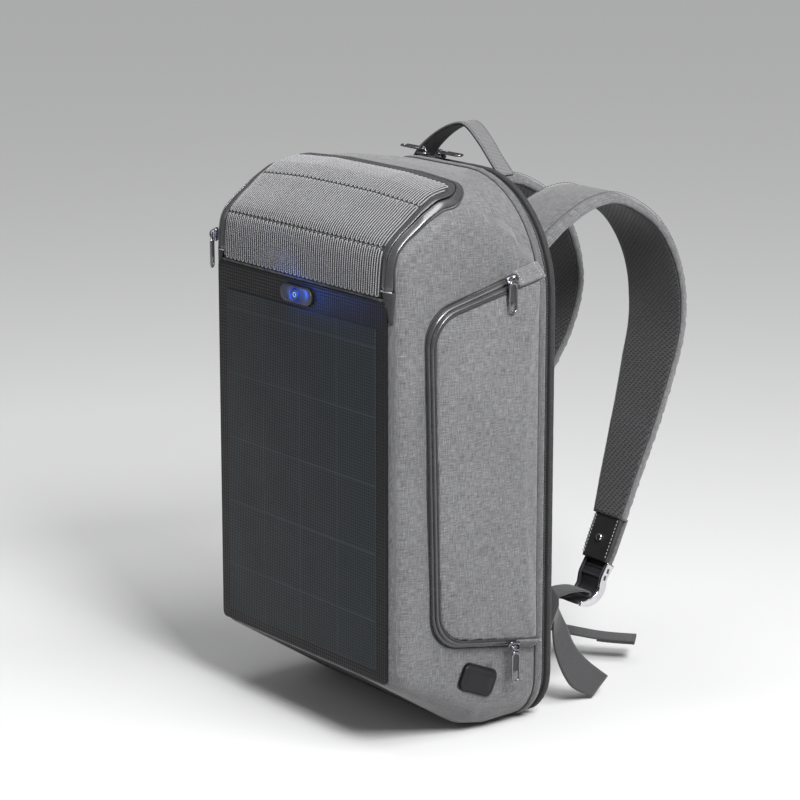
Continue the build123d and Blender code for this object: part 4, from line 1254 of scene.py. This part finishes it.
# ---------------------------------------------------------------- back panel, pads and sleeve
back_levels = [(-6, 32.9), (-6, 39.5), (-7.5, 40.8), (-12, 41.2), (-30, 41.6), (-60, 41.9), (-100, 42.0)]
back_loops = []
for out, y in back_levels:
    loop = rim_flat + rim_normal * max(out, -14)
    centre = np.array([0, 238])
    if out < -14:
        loop = centre + (loop - centre) * (1 + out / 132)
    loop[:, 1] = np.maximum(loop[:, 1], 2)
    ring = across_y(loop, y)
    if out < -8:
        ring[:, 1] += 0.35 * np.sin(loop[:, 1] * 0.12) * np.sin(loop[:, 0] * 0.09)
    back_loops.append(ring)
back_board = loft("back_board", back_loops, BACK_MESH)
lay_cloth(back_board, 0, 2)
put(back_board, "back_half", "foam_fabric", "back_panel")

pads = []
pad_low, pad_high = node_box("back_pads")
pad_mid_z, pad_half_z = (pad_low[2] + pad_high[2]) / 2, (pad_high[2] - pad_low[2]) / 2
for side, _ in SIDES:
    loops = []
    for inset, y in ((0.5, 41.4), (0.2, 44.5), (1.5, 48.5), (5, 50.5), (13, 51.2)):
        radius = 22 - min(inset, 14)
        pad_loop = rounded_rectangle(38 - inset, pad_half_z - inset, radius, 10, (side * 52, pad_mid_z))
        loops.append(across_y(pad_loop, y))
    pads.append(loft(f"pad_{side}", loops, BACK_MESH))
pad = join("back_pads_mesh", pads)
inflate(pad, 4.5, 4.0, 4.0, lambda p: p[:, 1] < 43.5)
points = points_of(pad)
depth = np.clip((points[:, 1] - 45) / 5, 0, 1)
channel_heights = np.linspace(pad_low[2] + 85, pad_high[2] - 85, 3)
channels = sum(np.exp(-((points[:, 2] - z) / 4.2) ** 2) for z in channel_heights)
points[:, 1] = np.minimum(points[:, 1] - 5.0 * channels * depth, pad_high[1] + 1.0)
pad.data.vertices.foreach_set("co", (points * MM).ravel())
lay_cloth(pad, 0, 2)
put(pad, "back_half", "foam_fabric", "back_pads")

sleeve_low, sleeve_high = node_box("laptop_sleeve")
u, v = np.meshgrid(np.linspace(-1, 1, 31), np.linspace(0, 1, 41))
sleeve_z = sleeve_low[2] + v * (sleeve_high[2] - sleeve_low[2])
half_at = np.interp(sleeve_z, [12, 42], [sleeve_high[0] - 35, sleeve_high[0]])
sleeve_x = u * half_at
bulge = 1.4 * (1 - u**2) * np.sin(np.pi * v) + 0.35 * np.sin(sleeve_x * 0.08) * np.sin(sleeve_z * 0.05)
front_face = np.stack([sleeve_x, sleeve_low[1] + 1.6 - bulge, sleeve_z], -1)
sleeve_front = plate("sleeve_front", front_face, front_face + [0, 3.0, 0], LINING)
gusset_half = [(111, 328), (111, 200), (111, 48), (100, 22), (77, 13.5)]
gusset_line = curve([(-x, z) for x, z in gusset_half] + [(0, 13.5)] + gusset_half[::-1], 120)
gusset_path = across_y(gusset_line, 24.5)
gusset_out = np.cross(tangents(gusset_path), Y_AXIS)
gusset = sweep("sleeve_gusset", gusset_path, Y_AXIS, gusset_out, oval(16.5, 1.6, 14, 5), LINING)
binding_line = np.linspace([-111, 0, 0], [111, 0, 0], 60) + [0, sleeve_low[1] + 2.6, sleeve_high[2] - 0.8]
binding = sweep("sleeve_binding", binding_line, Y_AXIS, Z_AXIS, oval(4.4, 3.4, 12), BLACK_WELT)
sleeve = join("laptop_sleeve_cloth", [sleeve_front, gusset, binding])
put(sleeve, "back_half", "black_fabric", "laptop_sleeve")

divider_low, divider_high = node_box("front_divider")
wave = 1.2 * np.sin(u * 5 + v * 3) * np.sin(np.pi * v)
divider = np.stack([u * divider_high[0],
                    divider_low[1] + 1.6 + v * (divider_high[1] - divider_low[1] - 3.0) + wave,
                    divider_low[2] + v * (divider_high[2] - divider_low[2])], -1)
divider_sheet = plate("divider_sheet", divider, divider + [0, 1.4, 0], LINING)
put(divider_sheet, "bag", "black_fabric", "front_divider")

# ---------------------------------------------------------------- shoulder straps, ends, hooks and webbing
STRAP_LINE = [(41.5, 412), (70, 433), (105, 448), (140, 447), (184, 420), (211, 373), (214, 318), (188, 248),
              (154, 183), (140, 156)]


def strap_edges(progress):
    """Inner and outer X of a strap along its length."""
    at = [0, 0.55, 0.68, 0.82, 0.93, 1]
    near = np.interp(progress, at, [32, 34, 40, 54, 68, 77])
    return near, np.interp(progress, at, [104, 105, 107, 110, 113, 115])


def ribbon(name, points, width, thick, material, x, count, power):
    """Webbing along a line in the YZ plane, flat across X."""
    path = across_x(curve(points, count), x)
    section = oval(width, thick, 16, power)
    return sweep(name, path, X_AXIS, np.cross(tangents(path), X_AXIS), section, material)


STRAP_COUNT = 170


for side, name in SIDES:
    line = curve(STRAP_LINE, STRAP_COUNT)
    near, far = strap_edges(np.linspace(0, 1, STRAP_COUNT))
    path = across_x(line, 0.0)
    out = np.cross(tangents(path), X_AXIS)
    if out[40] @ np.array([0, 0.5, 1]) < 0:
        out = -out
    path[:, 0] = side * (near + far) / 2
    width = far - near
    t = np.arange(STRAP_COUNT)
    pucker = 0.35 * np.sin(t * 1.9) + 0.3 * np.sin(t * 1.13 + 1) + 0.25 * np.sin(t * 2.9 + 2)
    unit_section = oval(2, 2, 40, 2.0)
    corner = np.sign(unit_section) * np.abs(unit_section) ** np.array([0.55, 0.62])
    at_edge = np.abs(corner[:, 0]) ** 6
    gathers = pucker[:, None] * at_edge
    sections = scaled(corner, width / 2, 4.4)
    sections[:, :, 0] += 0.3 * gathers * np.sign(corner[:, 0])
    sections[:, :, 1] += 0.8 * gathers - 1.1 * at_edge - 4.5
    shell = sweep(f"strap_shell_{name}", path, X_AXIS, out, sections, GREY)
    put(shell, "back_half", "grey_fabric", f"shoulder_strap_{name}")
    sections = scaled(corner, width / 2 - 2.2, 2.2)
    sections[:, :, 1] += 0.5 * np.sin(t * 0.21)[:, None] * (1 - at_edge) - 9.6
    pad_side = sweep(f"strap_pad_{name}", path, X_AXIS, out, sections, STRAP_MESH)
    put(pad_side, "back_half", "foam_fabric", f"strap_lining_{name}")
    edges = []
    for k, sign in enumerate((1, -1)):
        binding = path + X_AXIS * (sign * (width / 2 - 0.8))[:, None] - out * 7.4
        edges.append(sweep(f"strap_binding_{name}_{k}", binding, X_AXIS, out, oval(3.6, 5.0, 12, 2), GREY))
        seam = path + X_AXIS * (sign * (width / 2 - 5.5))[:, None] - out * 0.25
        edges.append(stitches(f"strap_seam_{name}_{k}", seam[2:-2], out[2:-2], THREAD, 3.6, 2.6, 0.6, 0.1))
    put(join(f"strap_seams_{name}", edges), "back_half", "grey_fabric")

    leather_path = across_x(curve([(141, 158), (132, 138), (124, 120)], 30), side * 97.0)
    leather_out = np.cross(tangents(leather_path), X_AXIS)
    if leather_out[10][1] < 0:
        leather_out = -leather_out
    taper = np.interp(np.linspace(0, 1, 30), [0, 0.75, 1], [1, 1, 0.93])
    leather = []
    for piece, section, material in (("strap_leather", oval(34.5, 6.4, 24, 4, (0, -7.6)), LEATHER),
                                     ("strap_tip", oval(35.5, 4.6, 24, 3, (0, -2.6)), GREY)):
        sections = scaled(section, taper, 1.0)
        leather.append(sweep(f"{piece}_{name}", leather_path, X_AXIS, leather_out, sections, material))
    faces = (("leather_seam", 0.2, leather_out), ("leather_seam_in", -10.9, -leather_out))
    for k, offset in enumerate((-15.6, -13.4, 14.6)):
        for piece, rise, facing in faces:
            seam = leather_path + X_AXIS * offset + leather_out * rise
            leather.append(stitches(f"{piece}_{name}_{k}", seam[2:-2], facing[2:-2], PALE_THREAD, 3.0, 2.0,
                                    0.6, 0.1))
    put(join(f"strap_leather_{name}", leather), "back_half", "leather", f"strap_end_{name}")

    hook_points = [(121.5, 121), (114, 110), (111, 99), (104, 92.5), (95, 90.6), (87, 91.4)]
    hook_line = curve(hook_points, 40)
    hook = [ribbon(f"hook_core_{name}", hook_points, 25, 3.2, PLASTIC, side * 98, 40, 4)]
    swell = np.interp(np.linspace(0, 1, 40), [0, 0.15, 0.8, 1], [1.0, 0.85, 0.8, 0.45])
    for k, (cheek_x, material) in enumerate(((84.0, PLASTIC), (112.0, CHROME))):
        cheek = across_x(hook_line, side * cheek_x)
        cheek_out = np.cross(tangents(cheek), X_AXIS)
        sections = scaled(oval(3.2, 9.0, 20, 7), 1.0, swell)
        hook.append(sweep(f"hook_cheek_{name}_{k}", cheek, X_AXIS, cheek_out, sections, material))
    for k, at in enumerate((4, 10)):
        bar = np.stack([side * np.linspace(85, 111, 9), *np.broadcast_to(hook_line[at], (9, 2)).T], 1)
        hook.append(sweep(f"hook_bar_{name}_{k}", bar, Z_AXIS, Y_AXIS, oval(3.2, 6.0, 12, 3), PLASTIC))
    for k, at in enumerate((5, 10)):
        notch = (np.array([side * 113.7, *hook_line[at]]), unit([0, 0.35, 1.0]), side * X_AXIS)
        hook.append(boxes(f"hook_notch_{name}_{k}", [notch], ZIP_TEETH, (4.6, 2.0, 0.9)))
    put(join(f"strap_hook_cast_{name}", hook), f"strap_hook_{name}", "hook_metal", f"strap_hook_{name}")

    loop_points = [(54, 100.5), (66, 102.5), (78, 103.3), (92, 101.8), (99.5, 98.6), (98.4, 95.8)]
    loop_web = ribbon(f"hook_webbing_{name}", loop_points, 24, 2.0, WEBBING, side * 100, 50, 6)
    put(loop_web, "back_half", "webbing", f"webbing_loop_{name}")

RIVET_TILT = math.radians(24)
rivet_dir = np.array([0, -math.cos(RIVET_TILT), math.sin(RIVET_TILT)])
rivet_up = np.array([0, math.sin(RIVET_TILT), math.cos(RIVET_TILT)])
RIVET_STEPS = ((2.0, -7.0), (2.9, -6.7), (3.4, -6.0), (3.4, -5.2), (2.0, -5.0),
               (2.0, 5.0), (3.4, 5.4), (3.4, 6.2), (2.9, 7.0), (2.0, 7.3))
rivets = []
for side, _ in SIDES:
    middle = np.array([side * 97, 126.5, 140.2])
    loops = []
    for radius, along in RIVET_STEPS:
        ring = circle(radius, 28)
        loops.append(middle + rivet_dir * along + ring[:, :1] * X_AXIS + ring[:, 1:] * rivet_up)
    rivets.append(loft(f"rivet_{side}", loops, CHROME))
put(join("strap_rivet_caps", rivets), "back_half", "gunmetal", "strap_rivets")

ANCHOR_CORNERS = [(41, 70), (54.5, 98), (54.5, 106), (41, 124)]
ANCHOR_LEVELS = ((-2.4, 96.3), (-0.4, 97.2), (0, 99), (0, 121), (-0.4, 122.8), (-2.4, 123.7))
tabs = []
for side, _ in SIDES:
    loops = [across_x(rounded_loop(ANCHOR_CORNERS, [2.4, 3, 3, 2.4], grow, 6), side * x)
             for grow, x in ANCHOR_LEVELS]
    tabs.append(loft(f"anchor_{side}", loops, BLACK_WELT))
    for start, end, rise in (((43, 76), (53.5, 98), -1), ((53.8, 106.5), (43, 120), 1)):
        for x in (99.5, 120.5):
            normal = unit([0, abs(end[1] - start[1]), rise * abs(end[0] - start[0])])
            seam = np.linspace([side * x, *start], [side * x, *end], 8) + normal * 0.3
            seam_name = f"anchor_seam_{side}_{x}_{start[1]}"
            tabs.append(stitches(seam_name, seam, normal, THREAD, 3.0, 2.0, 0.6, 0.0))
put(join("anchor_tab_cloth", tabs), "back_half", "black_fabric", "anchor_tabs")

TAIL_FRONT_EDGE = [(55, 94), (57, 54), (76, 19), (103.5, 2.2)]
TAIL_REAR_EDGE = [(68, 94), (77, 62), (93, 41), (121.5, 18)]
front_edge, rear_edge = curve(TAIL_FRONT_EDGE, 44), curve(TAIL_REAR_EDGE, 44)
v = np.linspace(0, 1, 13)[None, :, None]
tail = front_edge[:, None] * (1 - v) + rear_edge[:, None] * v
along = np.linspace(0, 1, 44)[:, None]
twist = (np.linspace(0, 1, 13)[None] - 0.5) * np.interp(along, [0, 0.22, 1], [14, 2.5, 0])
tail_x = 114 - 4.0 * np.exp(-(along / 0.2) ** 2) + 2.2 * np.sin(along * 5) * along - twist
top = np.concatenate([tail_x[..., None], tail], -1)
run = np.broadcast_to(lengths(front_edge)[:, None], tail.shape[:2])
girth = np.broadcast_to(np.linspace(0, 24, 13)[None], tail.shape[:2])
right_tail = plate("webbing_tail_cloth_right", top, top - [1.7, 0, 0], WEBBING,
                   cloth=np.stack([run, girth], -1))
put(right_tail, "back_half", "webbing", "webbing_tail_right")

tail_start, tail_run = np.array([-94.0, 66.0, 0]), np.array([138.0, 132.0, 0])
length = np.linalg.norm(tail_run)
tail_way = tail_run / length
drop_line = curve([(0, 97), (40, 70), (100, 36), (160, 23), (length + 12, 20.5)], 84)
tail_path = tail_start + drop_line[:, :1] * tail_way + drop_line[:, 1:] * Z_AXIS
tail_across = np.cross(tail_way, Z_AXIS)
tail_out = np.cross(tangents(tail_path), tail_across)
left_tail = sweep("left_tail", tail_path, tail_across, tail_out, oval(24, 1.8, 16, 6), WEBBING)
fold = sweep("left_tail_fold", tail_path[-14:], tail_across, tail_out[-14:],
             oval(24, 1.8, 16, 6, (0, 1.7)), WEBBING)
seam_mid = tail_path[-13] + tail_out[-13] * 2.8
seam = np.linspace(seam_mid - tail_across * 10, seam_mid + tail_across * 10, 8)
tail_seam = stitches("left_tail_seam", seam, tail_out[-13], PALE_THREAD, 2.8, 1.9, 0.6, 0.1)
tail_cloth = join("webbing_tail_cloth_left", [left_tail, fold, tail_seam])
put(tail_cloth, "back_half", "webbing", "webbing_tail_left")

# ---------------------------------------------------------------- CAD pieces that keep their own shape
OWN_SHAPES = (("usb_port", PLASTIC), ("charge_controller", PLASTIC), ("power_lead", RUBBER))
for node_name, material in OWN_SHAPES:
    for material_slot in frame["nodes"][node_name].material_slots:
        material_slot.material = material

# ---------------------------------------------------------------- camera, light and floor
# The camera stands to the right of the front and looks slightly down, with a long lens.
VIEW_AZIMUTH, VIEW_ELEVATION = math.radians(53.0), math.radians(13.4)
VIEW_DISTANCE, LENS, SENSOR = 2469.65, 128.4, 36.0
AIM = np.array([0.0, -45.0, 235.0])
AIM_SHIFT = (-15.71, -35.96)
level = math.cos(VIEW_ELEVATION)
back = np.array([math.sin(VIEW_AZIMUTH) * level, -math.cos(VIEW_AZIMUTH) * level, math.sin(VIEW_ELEVATION)])
right = unit(np.cross(-back, Z_AXIS))
up = np.cross(right, -back)
camera = bpy.data.objects.new("camera", bpy.data.cameras.new("camera"))
bpy.context.scene.collection.objects.link(camera)
camera.data.lens, camera.data.sensor_width = LENS, SENSOR
camera.data.clip_end = 50
camera.location = (AIM - AIM_SHIFT[0] * right - AIM_SHIFT[1] * up + VIEW_DISTANCE * back) * MM
camera.rotation_euler = Vector(-back).to_track_quat("-Z", "Y").to_euler()
bpy.context.scene.camera = camera

FLOOR = Finish("floor", {"Base Color": (0.58, 0.58, 0.58, 1), "Roughness": 0.75}).material
FLOOR_REACH = 30000
corners = [(-1, -1, 0), (1, -1, 0), (1, 1, 0), (-1, 1, 0)]
mesh("floor", np.array(corners) * FLOOR_REACH, [(0, 1, 2, 3)], FLOOR)


def add_light(name, kind, spot_mm=(0, 0, 0), facing=None, **sets):
    """A light at a place, turned so that its back faces along a direction."""
    light = bpy.data.lights.new(name, kind)
    for key, value in sets.items():
        setattr(light, key, value)
    obj = bpy.data.objects.new(name, light)
    bpy.context.scene.collection.objects.link(obj)
    obj.location = np.array(spot_mm) * MM
    if facing is not None:
        obj.rotation_euler = Vector(facing).to_track_quat("Z", "Y").to_euler()


LIGHT_AIM = np.array([0, 0, 240])
AREA_LIGHTS = (("side", (1500, -300, 1500), 600, 58), ("top", (-300, -200, 1900), 900, 10),
               ("front", (-900, -2200, 1500), 1200, 7))
for name, spot, size, power in AREA_LIGHTS:
    add_light(name, "AREA", spot, np.array(spot) - LIGHT_AIM, shape="SQUARE", size=size * MM, energy=power)
add_light("sun", "SUN", facing=(0.62, 0.18, 1.0), energy=1.7, angle=0.5)
glow_spot = (pod_mid[0], pod_front - 11, pod_mid[1] + 1)
add_light("button_glow", "POINT", glow_spot, energy=0.03, color=(0.03, 0.16, 1.0), shadow_soft_size=0.006)
world = bpy.data.worlds.new("world")
bpy.context.scene.world = world
world.use_nodes = True
sky_colour, sky_strength = world.node_tree.nodes["Background"].inputs[:2]
sky_colour.default_value = (0.86, 0.87, 0.89, 1)
sky_strength.default_value = 0.28
bpy.context.scene.view_settings.view_transform = "Standard"
